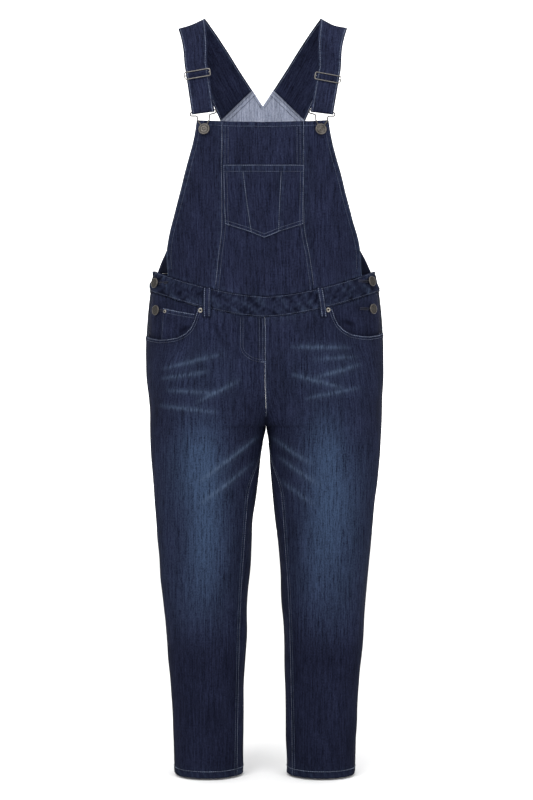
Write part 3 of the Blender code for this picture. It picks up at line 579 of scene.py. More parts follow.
def waves(x, z, size, stretch, seed):
    """Smooth uneven waves between about -1 and 1, longer along z by stretch."""
    rng = np.random.default_rng(seed)
    total = np.zeros_like(x + z)
    for _ in range(7):
        angle = rng.uniform(0.0, math.pi)
        length = size * rng.uniform(0.7, 1.6)
        phase = rng.uniform(0.0, 2.0 * math.pi)
        along = x * math.cos(angle) + z / stretch * math.sin(angle)
        total += np.sin(2.0 * math.pi * along / length + phase)
    return total / 2.8


def relief(face, x, z):
    """Height of folds, crease lines and soft unevenness over the smooth form."""
    total = np.zeros_like(x + z)
    for fold in rows_of(FOLDS):
        if fold["face"] == face:
            total += fold["height"] * ridge(x, z, fold, fold["spread"])
    if face == "front":
        for line in rows_of(WHISKERS):
            total += WHISKER_HEIGHT * ridge(x, z, line, WHISKER_SPREAD)
    seed = 11 if face == "front" else 12
    legs = ease((-0.60 - z) / 0.10)
    total += (0.0009 + 0.0004 * legs) * waves(x, z, 0.085, 1.6, seed)
    total += 0.00035 * waves(x, z, 0.030, 2.2, seed + 5)
    return total


def surface(face, side, u, z, out=0.0):
    """Points on the cloth's outer side, moved out along its normal, with those normals."""
    u = np.asarray(u, float) + np.zeros_like(z)
    z = np.asarray(z, float) + np.zeros_like(u)

    def point(uu, zz):
        x, y = section(face, uu, zz)
        return np.stack((side * x + lean(zz), y, zz), axis=-1)

    du = 0.002
    dz = 0.002
    p = point(u, z)
    along = point(np.clip(u + du, 0.0, 1.0), z) - point(np.clip(u - du, 0.0, 1.0), z)
    up = point(u, z + dz) - point(u, z - dz)
    normal = np.cross(along, up) * side * (-1.0 if face == "front" else 1.0)
    normal /= np.linalg.norm(normal, axis=-1, keepdims=True)
    calm = ease(u * 12.0) * ease((1.0 - u) * 12.0) if float(np.min(z)) < CROTCH_Z else 1.0
    if face == "front":
        calm = calm * (1.0 - 0.6 * ease((u - 0.74) / 0.10) * ease((CROTCH_Z - z) / 0.06))
    lift = out + relief(face, p[..., 0], z) * calm
    return p + normal * np.asarray(lift)[..., None], normal


def on_body(face, x, z, out=0.0):
    """Points over the plan position (x, z), with x measured from the centre line."""
    x = np.asarray(x, float) + np.zeros_like(z)
    z = np.asarray(z, float) + np.zeros_like(x)
    u = across(face, x, z)
    p_l, n_l = surface(face, 1, u, z, out)
    p_r, n_r = surface(face, -1, u, z, out)
    left = (x >= 0.0)[..., None]
    return np.where(left, p_l, p_r), np.where(left, n_l, n_r)


def grain_map(points, x, grain_x):
    """Distance along each row of the grid from the grain line at half-width grain_x."""
    run = running_across(points)
    start = np.zeros(len(points))
    for i in range(len(points)):
        j = int(np.argmin(np.abs(np.abs(x[i]) - grain_x)))
        k = min(max(j, 1), x.shape[1] - 2)
        pair = np.abs(x[i, k - 1 : k + 2])
        order = np.argsort(pair)
        start[i] = np.interp(grain_x, pair[order], run[i, k - 1 : k + 2][order])
    return run - start[:, None]


def warp_map(x):
    """Distance of the warp threads of a hanging panel from its middle."""
    return x * (1.0 + WARP_SPREAD * x * x)


def waist_seam_z(face, x):
    share = np.abs(x) / WAIST_SIDE_X
    if face == "front":
        return WAIST_FRONT_Z + WAIST_SIDE_RISE * share**WAIST_CURVE
    return WAIST_BACK_Z - WAIST_BACK_DROP * share**2


def seam_at_u(face, u):
    """Height of the waist seam at u, whichever half."""
    x = section(face, u, np.full_like(u, WAIST_LEVEL_Z))[0]
    return waist_seam_z(face, x)


def band_top_z(face, x):
    u = across(face, x, np.full_like(x, BAND_TOP_LEVEL_Z))
    return seam_at_u(face, u) + BAND_HEIGHT + 2.0 * SEAM_GAP


# Materials
def new_material(name):
    """A material with its node tree and its shader."""
    material = bpy.data.materials.new(name)
    material.use_nodes = True
    return material, material.node_tree, material.node_tree.nodes["Principled BSDF"]


def grey(level):
    return (level,) * 3 + (1,)


def node_of(tree, kind, **values):
    node = tree.nodes.new(kind)
    for key, value in values.items():
        setattr(node, key, value)
    return node


def feed(tree, node, inputs):
    """Link each socket's source, or set its number or colour."""
    for socket, value in inputs:
        if hasattr(value, "is_linked"):
            tree.links.new(value, node.inputs[socket])
        else:
            node.inputs[socket].default_value = value


def colour_mix(tree, factor, a, b, blend="MIX"):
    mix = node_of(tree, "ShaderNodeMix", data_type="RGBA", blend_type=blend)
    feed(tree, mix, ((0, factor), (6, a), (7, b)))
    return mix.outputs[2]


def math_node(tree, operation, a, b):
    node = node_of(tree, "ShaderNodeMath", operation=operation)
    feed(tree, node, ((0, a), (1, b)))
    return node.outputs[0]


def times(tree, value, factor):
    return math_node(tree, "MULTIPLY", value, factor)


def mesh_value(tree, name):
    return node_of(tree, "ShaderNodeAttribute", attribute_name=name).outputs[2]


def bump(tree, shader, height, strength, distance):
    lift = node_of(tree, "ShaderNodeBump")
    feed(tree, lift, (("Strength", strength), ("Distance", distance), ("Height", height)))
    tree.links.new(lift.outputs[0], shader.inputs["Normal"])


def ramp(tree, source, stops):
    node = node_of(tree, "ShaderNodeValToRGB")
    tree.links.new(source, node.inputs[0])
    while len(node.color_ramp.elements) < len(stops):
        node.color_ramp.elements.new(0.5)
    for element, (place, colour) in zip(node.color_ramp.elements, stops):
        element.position = place
        element.color = colour
    return node.outputs[0]


def noise(tree, vector, scale, detail, scales=(1.0, 1.0, 1.0), rough=0.5):
    mapping = node_of(tree, "ShaderNodeMapping")
    feed(tree, mapping, (("Scale", scales), ("Vector", vector)))
    node = node_of(tree, "ShaderNodeTexNoise")
    feed(tree, node, (("Scale", scale), ("Detail", detail), ("Roughness", rough),
                      ("Vector", mapping.outputs[0])))
    return node.outputs[0]


def denim(name, dark, light, fade, wear, painted_shade, shading="shade"):
    """Twill denim: slubby warp streaks, weave, fades and wear from the mesh's own attributes, and shade
    painted in by its shade attribute.
    """
    material, tree, shader = new_material(name)
    uv = node_of(tree, "ShaderNodeUVMap", uv_map="cloth").outputs[0]
    long_slub = noise(tree, uv, 1.0, 3.0, LONG_SLUB, 0.65)
    short_slub = noise(tree, uv, 1.0, 3.0, SHORT_SLUB, 0.70)
    grain = noise(tree, uv, 1.0, 2.0, FINE_GRAIN, 0.60)
    cloud = noise(tree, uv, 1.0, 2.0, CLOUD, 0.5)
    streak = math_node(tree, "ADD", times(tree, long_slub, 0.36), times(tree, short_slub, 0.36))
    streak = math_node(tree, "ADD", streak, times(tree, grain, 0.28))
    spread = ramp(tree, streak, ((0.400, grey(0)), (0.605, grey(1))))
    base = colour_mix(tree, spread, (*dark, 1), (*light, 1))
    tone = ramp(tree, cloud, ((0.30, (0.80, 0.80, 0.82, 1)), (0.70, (1.16, 1.16, 1.20, 1))))
    base = colour_mix(tree, 1.0, base, tone, "MULTIPLY")
    turn = node_of(tree, "ShaderNodeMapping")
    feed(tree, turn, (("Scale", TWILL), ("Vector", uv)))
    twill = node_of(tree, "ShaderNodeTexWave", wave_type="BANDS", bands_direction="DIAGONAL")
    feed(tree, twill, (("Vector", turn.outputs[0]), ("Scale", 0.21), ("Distortion", 2.5), ("Detail", 2.0)))
    weave = ramp(tree, twill.outputs[1], ((0.0, grey(0.94)), (1.0, grey(1.06))))
    base = colour_mix(tree, 1.0, base, weave, "MULTIPLY")
    uneven = ramp(tree, streak, ((0.39, grey(0.15)), (0.61, grey(1.60))))
    base = colour_mix(tree, times(tree, mesh_value(tree, "fade"), uneven), base, (*fade, 1))
    scuff = ramp(tree, short_slub, ((0.38, grey(0.10)), (0.62, grey(1.55))))
    base = colour_mix(tree, times(tree, mesh_value(tree, "wear"), scuff), base, (*wear, 1))
    # Painted shade: darken towards the shade colour wherever the mesh's shade attribute says
    base = colour_mix(tree, mesh_value(tree, shading), base, (*painted_shade, 1))
    rough = ramp(tree, streak, ((0.3, grey(0.95)), (0.7, grey(0.84))))
    feed(tree, shader, (("Base Color", base), ("Roughness", rough), ("Specular IOR Level", 0.03)))
    bump(tree, shader, math_node(tree, "ADD", times(tree, twill.outputs[1], 0.5), streak), 0.35, 0.0004)
    return material


def thread(name, rgb):
    """Sewing thread, patchy where it is worn."""
    material, tree, shader = new_material(name)
    place = node_of(tree, "ShaderNodeTexCoord").outputs["Object"]
    spots = noise(tree, place, 62.0, 3.0, (1, 1, 1), 0.6)
    worn = tuple(0.38 * c for c in rgb) + (1,)
    bright = tuple(min(1.0, 1.35 * c) for c in rgb) + (1,)
    feed(tree, shader, (("Base Color", ramp(tree, spots, ((0.34, worn), (0.66, bright)))),
                        ("Roughness", 0.7), ("Specular IOR Level", 0.25)))
    bump(tree, shader, noise(tree, place, 2600.0, 1.0), 0.4, 0.0002)
    return material


def metal(name, dark, bright, rough):
    """Aged cast metal: dark in the hollows and patches, brighter where it rubs."""
    material, tree, shader = new_material(name)
    place = node_of(tree, "ShaderNodeTexCoord").outputs["Object"]
    patch = noise(tree, place, 420.0, 3.0, (1, 1, 1), 0.6)
    grit = noise(tree, place, 3200.0, 2.0)
    rubbed = node_of(tree, "ShaderNodeNewGeometry").outputs["Pointiness"]
    edge = ramp(tree, rubbed, ((0.47, grey(0)), (0.56, grey(1))))
    amount = math_node(tree, "ADD", times(tree, patch, 0.55), times(tree, edge, 0.45))
    gloss = ramp(tree, grit, ((0.3, grey(rough - 0.08)), (0.7, grey(rough + 0.12))))
    feed(tree, shader, (("Base Color", colour_mix(tree, amount, (*dark, 1), (*bright, 1))),
                        ("Metallic", 1.0), ("Roughness", gloss)))
    bump(tree, shader, grit, 0.25, 0.0001)
    return material


DARK = (0.0024, 0.0032, 0.0088)
LIGHT = (0.0164, 0.0200, 0.0432)
FADE = (0.0290, 0.0480, 0.0910)
WEAR = (0.0480, 0.0700, 0.1150)
# Colour of the painted shade, mixed in by the shade attribute
PAINTED_SHADE = (0.0022, 0.0028, 0.0082)
MATERIALS = {
    "denim": denim("denim", DARK, LIGHT, FADE, WEAR, PAINTED_SHADE),
    # The wrong side's last colour is its painted shade
    "inside": denim("denim_wrong_side", (0.124, 0.143, 0.192), (0.338, 0.362, 0.438),
                    (0.40, 0.43, 0.50), (0.09, 0.11, 0.17), (0.016, 0.020, 0.046), "shade_inside"),
    "thread": thread("thread", (0.125, 0.150, 0.215)),
    "thread_mid": thread("thread_soft", (0.046, 0.058, 0.098)),
    "thread_dark": thread("thread_dark", (0.012, 0.014, 0.030)),
    "brass": metal("aged_metal", (0.012, 0.011, 0.010), (0.128, 0.118, 0.108), 0.36),
    "wire": metal("wire_metal", (0.020, 0.019, 0.018), (0.230, 0.220, 0.205), 0.34),
    "steel": metal("rivet_metal", (0.085, 0.078, 0.070), (0.340, 0.320, 0.290), 0.34),
    "hook": metal("hook_metal", (0.012, 0.011, 0.010), (0.105, 0.100, 0.094), 0.36),
    # Near-black metal of the painted shade in the rivets' holes
    "eye": metal("rivet_eye_shade", (0.006, 0.005, 0.005), (0.020, 0.018, 0.016), 0.60),
}


def placed(name, data):
    """A new object of the data, in the scene."""
    obj = bpy.data.objects.new(name, data)
    bpy.context.scene.collection.objects.link(obj)
    return obj


def dress(obj, node):
    """Ride on the garment, in place of the CAD node if it has one."""
    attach(obj, "root")
    if node:
        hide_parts(node)
    return obj


def grid_mesh(name, points, normals):
    rows, columns = points.shape[:2]
    a = points[1:, :-1] - points[:-1, :-1]
    b = points[:-1, 1:] - points[:-1, :-1]
    outward = float(np.sum(np.cross(b, a) * normals[:-1, :-1])) > 0.0
    i, j = np.meshgrid(np.arange(rows - 1), np.arange(columns - 1), indexing="ij")
    k = (i * columns + j).ravel()
    quads = np.stack((k, k + 1, k + 1 + columns, k + columns), axis=1)
    if not outward:
        quads = quads[:, ::-1]
    mesh = bpy.data.meshes.new(name)
    mesh.from_pydata(points.reshape(-1, 3).tolist(), [], quads.tolist())
    return mesh


def cloth(node, points, normals, wall, inner="inside", u_map=None, v_map=None,
          fade=None, wear=None, shade=None, shade_inside=None, hem_rows=0, centred=False):
    """The cloth of a CAD node, from a fine grid on its outer side, with wall, weave map, wear and painted
    shade.
    """
    rows, columns = points.shape[:2]
    name = "cloth_" + node
    mesh = grid_mesh(name, points, normals)
    if u_map is None:
        u_map = running_across(points)
        u_map = u_map - u_map[:, columns // 2 : columns // 2 + 1]
    if v_map is None:
        v_map = points[..., 2]
    flat = np.stack((u_map.ravel(), v_map.ravel()), axis=1)
    layer = mesh.uv_layers.new(name="cloth")
    corners = np.zeros(len(mesh.loops), dtype=np.int32)
    mesh.loops.foreach_get("vertex_index", corners)
    layer.data.foreach_set("uv", flat[corners].astype(np.float32).ravel())
    if shade_inside is None:
        shade_inside = shade
    for key, values in (("fade", fade), ("wear", wear), ("shade", shade), ("shade_inside", shade_inside)):
        field = mesh.attributes.new(name=key, type="FLOAT", domain="POINT")
        if values is not None:
            spread = (np.zeros((rows, columns)) + values).astype(np.float32)
            field.data.foreach_set("value", np.clip(spread, 0.0, 1.0).ravel())
    obj = placed(name, mesh)
    mesh.materials.append(MATERIALS["denim"])
    mesh.materials.append(MATERIALS[inner])
    mesh.shade_smooth()
    solid = obj.modifiers.new("wall", "SOLIDIFY")
    solid.thickness = wall
    solid.offset = 0.0 if centred else -1.0
    solid.material_offset = 1
    solid.material_offset_rim = 0
    if hem_rows:
        group = obj.vertex_groups.new(name="hem")
        solid.thickness = HEM_WALL
        solid.vertex_group = group.name
        solid.thickness_vertex_group = wall / HEM_WALL
        group.add(list(range((rows - hem_rows) * columns, rows * columns)), 1.0, "REPLACE")
    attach(obj, "root")
    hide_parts(node)


def resample(points, normals, pitch):
    """Even steps along a line of points: places, normals and directions."""
    run = running(points)
    count = max(1, int(run[-1] / pitch))
    at = (np.arange(count) + 0.5) * run[-1] / count

    def along(values, places):
        return np.stack([np.interp(places, run, values[:, k]) for k in range(3)], axis=1)

    n = along(normals, at)
    t = along(points, at + 0.5 * pitch) - along(points, at - 0.5 * pitch)
    t /= np.maximum(np.linalg.norm(t, axis=1, keepdims=True), 1e-9)
    n /= np.linalg.norm(n, axis=1, keepdims=True)
    return along(points, at), n, t


GRAIN = np.array(
    [(-0.5, 0, -0.6)]
    + [(s, w, h) for s in (-0.30, 0.30) for w, h in ((1, 0), (0, 1), (-1, 0), (0, -1))]
    + [(0.5, 0, -0.6)]
)
GRAIN_FACES = (
    [(0, 1 + (k + 1) % 4, 1 + k) for k in range(4)]
    + [(1 + k, 1 + (k + 1) % 4, 5 + (k + 1) % 4, 5 + k) for k in range(4)]
    + [(9, 5 + k, 5 + (k + 1) % 4) for k in range(4)]
)


def stitches(name, lines, pitch=0.0034, length=0.0029, width=0.00050, height=0.00036, look="thread"):
    """Rows of raised stitches, each a small grain of thread."""
    verts = []
    for points, normals in lines:
        p, n, t = resample(np.asarray(points), np.asarray(normals), pitch)
        w = np.cross(n, t)
        grain = (p[:, None, :] + t[:, None, :] * (GRAIN[None, :, :1] * length)
                 + w[:, None, :] * (GRAIN[None, :, 1:2] * width)
                 + n[:, None, :] * (GRAIN[None, :, 2:3] * height))
        verts.append(grain.reshape(-1, 3))
    verts = np.concatenate(verts)
    count = len(verts) // len(GRAIN)
    faces = [tuple(i * len(GRAIN) + k for k in face) for i in range(count) for face in GRAIN_FACES]
    mesh = bpy.data.meshes.new(name)
    mesh.from_pydata(verts.tolist(), [], faces)
    work = bmesh.new()
    work.from_mesh(mesh)
    bmesh.ops.recalc_face_normals(work, faces=work.faces)
    work.to_mesh(mesh)
    work.free()
    mesh.shade_smooth()
    mesh.materials.append(MATERIALS[look])
    dress(placed(name, mesh), None)


def line_u(face, side, u, z, out=STITCH_OUT):
    u, z = np.broadcast_arrays(np.asarray(u, float), np.asarray(z, float))
    return surface(face, side, u.copy(), z.copy(), out)


def line_x(x, z, out=STITCH_OUT, face="front"):
    x, z = np.broadcast_arrays(np.asarray(x, float), np.asarray(z, float))
    return on_body(face, x.copy(), z.copy(), out)


def pucker(distance, along, seed, reach=0.006, pitch=0.0105):
    """Roping beside a sewn edge: 0 to 1, uneven along it and dying away from it."""
    wander = 0.8 * np.sin(along / 0.037 + seed) + 0.5 * np.sin(along / 0.021 + 2.3 * seed)
    ripple = 0.5 + 0.5 * np.sin(2.0 * math.pi * along / pitch + 1.6 * wander)
    strength = 0.75 + 0.25 * np.sin(along / 0.061 + 1.7 * seed)
    return ripple * strength * np.exp(-((np.maximum(distance, 0.0) / reach) ** 1.5))


# Trouser fronts
def mouth_z(side, x):
    rows = rows_of(MOUTH)
    xs = [r["x"] for r in rows]
    zs = [r["z"] + side * MOUTH_SHIFT for r in rows]
    return np.where(np.abs(x) < xs[0], 1.0, np.interp(np.abs(x), xs, zs))


def leg_fade(x, z):
    """Pale band down the front of the thighs and knees."""
    centre = 0.5 * (body("half_width", z) + body("inner_x", z)) + 0.010
    core = bell(np.abs(x) - centre, 0.036)
    down = ease((z + 1.175) / 0.20) * ease((-0.690 - z) / 0.13)
    patch = 0.85 + 0.25 * waves(x, z, 0.12, 2.0, 31)
    hips = 0.12 * bell(np.abs(x) - 0.115, 0.055) * bell(z + 0.66, 0.045)
    return np.clip(0.78 * core * down * patch + hips, 0.0, 1.0)


def crease_shade(x, z, table, spread):
    """Painted shade along the creases in a table."""
    return sum(row["dark"] * ridge(x, z, row, spread) for row in rows_of(table))


def whisker_wear(x, z):
    total = np.zeros_like(x + z)
    for line in rows_of(WHISKERS):
        total += 0.72 * line["pale"] * ridge(x, z, line, 0.0021)
        total += 0.26 * line["pale"] * ridge(x, z, line, 0.0055)
    return total


def leg_heights(top, grid):
    """Heights of a leg's grid: from its top edge to the crotch, down to the hem, and the hem."""
    flat = 0.0 * top[None, :]
    above = np.linspace(1.0, 0.0, grid["above"])[:, None] ** GRID_CROWD_ABOVE
    below = np.linspace(0.0, 1.0, grid["below"])[1:, None] ** GRID_CROWD_BELOW
    hem = np.linspace(1.0, 0.0, HEM_ROWS)[:, None]
    return np.concatenate((CROTCH_Z + (top[None, :] - CROTCH_Z) * above,
                           CROTCH_Z + (HEM_Z + HEM_DEPTH + 0.0015 - CROTCH_Z) * below + flat,
                           HEM_Z + HEM_DEPTH * hem + flat))


def inside_seams(u, z, length):
    """The same u, kept clear of the seams at both ends of the row."""
    margin = np.where(z < HEM_Z + HEM_DEPTH, HEM_SEAM_GAP, SEAM_GAP) / length
    return margin + (1.0 - 2.0 * margin) * u


def hem_line(face, side):
    u = np.linspace(0.002, 0.998, STITCH_STEPS)
    return line_u(face, side, u, HEM_Z + HEM_ROW_RISE, STITCH_OUT + 0.0003)


def hem_roping(x, z, seed):
    return pucker(np.abs(z - HEM_Z - 0.006), x + 0.5 * z, seed, 0.009, 0.012)


def front_leg(tag, side):
    fine_u = np.linspace(0.0, 1.0, 1601)
    fine_x = section("front", fine_u, np.full_like(fine_u, -0.565))[0]
    fine_top = np.minimum(seam_at_u("front", fine_u), mouth_z(side, fine_x))
    rise = np.concatenate(([0.0], np.cumsum(np.hypot(np.diff(fine_u) * 0.285, 0.8 * np.diff(fine_top)))))
    share = np.linspace(0.0, 1.0, FRONT_GRID["columns"] + 1)
    dense_u = np.interp(share * rise[-1], rise, fine_u)
    top = seam_at_u("front", dense_u) - SEAM_GAP
    for _ in range(14):
        x = section("front", dense_u, top)[0]
        top = np.minimum(seam_at_u("front", dense_u) - SEAM_GAP, mouth_z(side, x))
    z = leg_heights(top, FRONT_GRID)
    calm = ease((top[None, :] - z) / 0.14)
    u = dense_u[None, :] * (1.0 - calm) + share[None, :] * calm
    length = girth_at("front", z)
    u = inside_seams(u, z, length)
    x = section("front", u, z)[0] * side
    at_mouth = (top < seam_at_u("front", dense_u) - 0.0015)[None, :]
    edge = top[None, :] - z
    edge_run = np.interp(u, fine_u, rise)
    mouth_rope = np.where(at_mouth, pucker(edge - 0.0015, edge_run, 2.0 + side, 0.007), 0.0)
    waist_rope = np.where(at_mouth, 0.0, pucker(edge, x, 4.0 + side, 0.010, 0.013))
    out_rope = pucker(u * length, z, 1.0 + side, 0.007, 0.014)
    in_rope = np.where(z < CROTCH_Z, pucker(np.abs((1.0 - u) * length - 0.004), z, 5.0 + side, 0.006), 0.0)
    fly_rope = np.where(z > CROTCH_Z, pucker((1.0 - u) * length, z, 3.0 + side, 0.005), 0.0)
    hem_rope = hem_roping(x, z, 7.0 + side)
    rope = mouth_rope + waist_rope + 0.6 * out_rope + in_rope + fly_rope + 1.2 * hem_rope
    thick = np.where(at_mouth, 0.0006 * ease(1.0 - (edge - 0.006) / 0.003), 0.0)
    points, normals = surface("front", side, u, z, thick + LEG_ROPE * rope)
    wear = whisker_wear(x, z) + 0.20 * rope + 0.10 * hem_rope
    # Painted shade: under the pocket mouth's edge, beside the side seam, in the fork by the inseam, over the
    # lower legs towards the hems, and along the leg creases
    crease = np.where(at_mouth, 0.30 * fall(edge, 0.010), 0.0)
    crease += 0.25 * ease(1.0 - u * length / 0.05) * ease((-0.62 - z) / 0.1)
    crease += 0.08 * ease(1.0 - (1.0 - u) * length / 0.020) * ease((CROTCH_Z + 0.02 - z) / 0.1)
    crease += 0.34 * ease((-1.08 - z) / 0.12) + crease_shade(x, z, LEG_CREASES, 0.0030)
    weave = grain_map(points, x, GRAIN_X) + 0.37 * side
    cloth("front_leg_" + tag, points, normals, DENIM, u_map=weave,
          fade=leg_fade(x, z), wear=wear, shade=crease, hem_rows=HEM_ROWS)
    edge_u = dense_u[at_mouth[0]]
    edge_top = top[at_mouth[0]]
    place, normal = surface("front", side, edge_u, edge_top)
    run = np.gradient(place, axis=0)
    inward = np.cross(normal, run)
    inward /= np.linalg.norm(inward, axis=1, keepdims=True)
    inward *= -np.sign(inward[:, 2:3].mean())
    mouth = [place + inward * step for step in MOUTH_ROWS]
    row, soft_row = [line_x(side * np.abs(m[:, 0]), m[:, 2], STITCH_OUT + 0.0008) for m in mouth]
    low = np.linspace(CROTCH_Z - 0.030, HEM_Z + 0.001, 240)
    reach = girth_at("front", low)
    seam_row = line_u("front", side, 1.0 - INSEAM_ROW / reach, low, STITCH_OUT + 0.0005)
    soft_seam_row = line_u("front", side, 1.0 - INSEAM_SOFT_ROW / reach, low, STITCH_OUT + 0.0002)
    stitches("stitching_inseam_" + tag, [seam_row], width=0.00034)
    stitches("stitching_front_leg_" + tag, [row, hem_line("front", side)])
    stitches("soft_stitching_front_leg_" + tag, [soft_row, soft_seam_row], look="thread_mid")


for tag, side in SIDES:
    front_leg(tag, side)


# Trouser backs
def back_leg(tag, side):
    u0 = np.linspace(0.0, 1.0, BACK_GRID["columns"] + 1)
    top = seam_at_u("back", u0) - SEAM_GAP
    z = leg_heights(top, BACK_GRID)
    length = girth_at("back", z)
    u = inside_seams(u0[None, :] + 0.0 * z, z, length)
    x = section("back", u, z)[0] * side
    waist_rope = pucker(top[None, :] - z, x, 4.0 + side, 0.010, 0.013)
    to_seat = np.abs((1.0 - u) * length - 0.004)
    seat_rope = np.where(z > CROTCH_Z, pucker(to_seat, z, 6.0 + side, 0.008), 0.0)
    out_rope = pucker(u * length, z, 1.5 + side, 0.007, 0.014)
    hem_rope = hem_roping(x, z, 8.0 + side)
    rope = waist_rope + seat_rope + 0.6 * out_rope + 1.2 * hem_rope
    points, normals = surface("back", side, u, z, LEG_ROPE * rope)
    centre = 0.5 * (body("half_width", z) + body("inner_x", z))
    seat = 0.40 * bell(np.abs(x) - 0.11, 0.060) * bell(z + 0.66, 0.075)
    knee = 0.16 * bell(np.abs(x) - centre, 0.040) * bell(z + 0.95, 0.13)
    wear = 0.20 * rope + 0.10 * hem_rope
    for fold in rows_of(FOLDS):
        if fold["face"] == "back":
            wear = wear + 0.12 * ridge(x, z, fold, 0.006)
    weave = grain_map(points[:, :60], x[:, :60], GRAIN_X)
    tail = np.linalg.norm(np.diff(points[:, 59:], axis=1), axis=-1)
    weave = np.concatenate((weave, weave[:, -1:] + np.cumsum(tail, axis=1)), axis=1) + 0.91 * side
    cloth("back_leg_" + tag, points, normals, DENIM, u_map=weave,
          fade=seat + knee, wear=wear, hem_rows=HEM_ROWS)
    lines = [hem_line("back", side)]
    if side < 0:
        high = np.linspace(float(top[-1]) - 0.002, CROTCH_Z + 0.012, STITCH_STEPS)
        lines += [line_u("back", side, 1.0 - step / girth_at("back", high), high) for step in SEAT_ROWS]
    stitches("stitching_back_leg_" + tag, lines)


for tag, side in SIDES:
    back_leg(tag, side)

# Pocket facings and coin pocket
coin_out = -CAD_DENIM - LAYER_GAP
facing_out = coin_out - POCKET_WALL - LAYER_GAP
for tag, side in SIDES:
    u0 = np.linspace(SEAM_GAP / 0.285, FACING_INNER_U, 58)
    top = seam_at_u("front", u0) - 0.0003
    v = np.linspace(0.0, 1.0, 46)[:, None]
    z = top[None, :] + (FACING_BOTTOM_Z - top[None, :]) * v
    u = u0[None, :] + 0.0 * z
    depth = coin_out + (facing_out - coin_out) * ease((top[None, :] - z) / 0.018)
    x = section("front", u, z)[0] * side
    puff = 0.0006 * waves(x, z, 0.045, 1.0, 41 + side)
    points, normals = surface("front", side, u, z, depth - 0.0006 + puff)
    rope = pucker(top[None, :] - z, x, 9.0 + side, 0.008, 0.012) + pucker(u * 0.28, z, 3.3, 0.006)
    low = np.minimum(mouth_z(side, x), 0.0)
    # Painted shade on the facing just above the pocket mouth's edge, and along the pocket creases
    shade = 0.35 * fall(np.maximum(z - low, 0.0), 0.014) * (np.abs(x) > 0.117)
    cloth("pocket_facing_" + tag, points, normals, POCKET_WALL,
          wear=0.16 * rope, shade=shade + crease_shade(x, z, POCKET_CREASES, 0.0034))

u0 = np.linspace(COIN_OUTER_U, COIN_INNER_U, 34)
tops = np.linspace(COIN_OUTER_Z, COIN_INNER_Z, 34)
v = np.linspace(0.0, 1.0, 34)[:, None]
z = tops[None, :] + (COIN_BOTTOM_Z - tops[None, :]) * v
u = u0[None, :] + 0.0 * z
x = -section("front", u, z)[0]
rope = pucker(tops[None, :] - z, x, 2.2, 0.007, 0.010) + pucker((u - COIN_OUTER_U) * 0.28, z, 5.2, 0.004)
points, normals = surface("front", -1, u, z, coin_out + PATCH_ROPE * rope)
# Painted shade along the pocket creases that cross the coin pocket
cloth("coin_pocket_r", points, normals, POCKET_WALL,
      wear=0.28 * rope, shade=crease_shade(x, z, POCKET_CREASES, 0.0034))
coin_lines = [line_u("front", -1, u0, tops - 0.0016, coin_out + STITCH_OUT + 0.0002)]
low = np.linspace(COIN_OUTER_Z - 0.012, -0.598, 30)
soft = [line_u("front", -1, u0, tops - 0.0080, coin_out + STITCH_OUT + 0.0002),
        line_u("front", -1, COIN_OUTER_U + 0.006, low, coin_out + STITCH_OUT)]
stitches("stitching_coin_pocket", coin_lines)
stitches("soft_stitching_coin_pocket", soft, look="thread_mid", width=0.00040)

# Waistband
band_out = 0.5 * (BAND_WALL - CAD_DENIM)


def band_points(face, side, u, share, out=0.0):
    """Crumpled waistband: points at a share of its height, their normals and the roping."""
    seam = seam_at_u(face, u) + SEAM_GAP
    z = seam + BAND_HEIGHT * share
    x = side * section(face, u, z)[0]
    low = pucker(np.abs(BAND_HEIGHT * share - 0.005), x + 1.5 * z, 3.0 + side, 0.013, 0.0145)
    high = pucker(np.abs(BAND_HEIGHT * (1.0 - share) - 0.005), x - 1.3 * z, 6.0 + side, 0.013, 0.0130)
    calm = 0.15 + 0.85 * ease(u / 0.12)
    twist = (low + high) * calm
    crumple = (waves(x + 0.9 * z, z, 0.024, 0.9, 51) + 0.7 * waves(x - 0.7 * z, z, 0.013, 1.0, 52)) * calm
    swell = band_out + calm * 0.0008 * np.sin(math.pi * share) + 0.0009 * twist + 0.0009 * crumple + out
    p, n = surface(face, side, u, z, swell)
    return p, n, twist, crumple


for face in ("front", "back"):
    half_u = np.linspace(0.0, 1.0, 151)
    half_u[0] = SEAM_GAP / half_girth(face, -0.49)
    shares = np.linspace(0.0, 1.0, 19)[:, None]
    u = half_u[None, :] + 0.0 * shares
    halves = [band_points(face, side, u, shares) for side in (1, -1)]
    points, normals, rope, crumple = (
        np.concatenate((left[:, :-1], right[:, ::-1]), axis=1) for left, right in zip(*halves))
    # Wear along the roping; on the crumple's crests both wear and a painted highlight. Painted shade in the
    # crumple's troughs, over an even darkening of the whole band
    cloth("waistband_" + face, points, normals, BAND_WALL, inner="denim",
          wear=0.20 * rope + 0.14 * np.maximum(crumple - 0.3, 0.0),
          shade=np.clip(0.22 - 0.48 * np.minimum(crumple + 0.1, 0.0), 0.0, 0.85))
    lines = [band_points(face, side, half_u, share, STITCH_OUT + 0.0002)[:2]
             for side in (1, -1) for share in (0.060, 0.940)]
    stitches("stitching_waistband_" + face, lines, look="thread_mid")


# Bib
def bib_seam(z):
    return column(BIB_SEAM, "z", "x", z)


def bib_edge(z):
    return column(BIB_EDGE, "z", "x", z)


def bib_top_z(x):
    return BIB_TOP_Z + BIB_CORNER_RISE * (x / 0.1177) ** 2


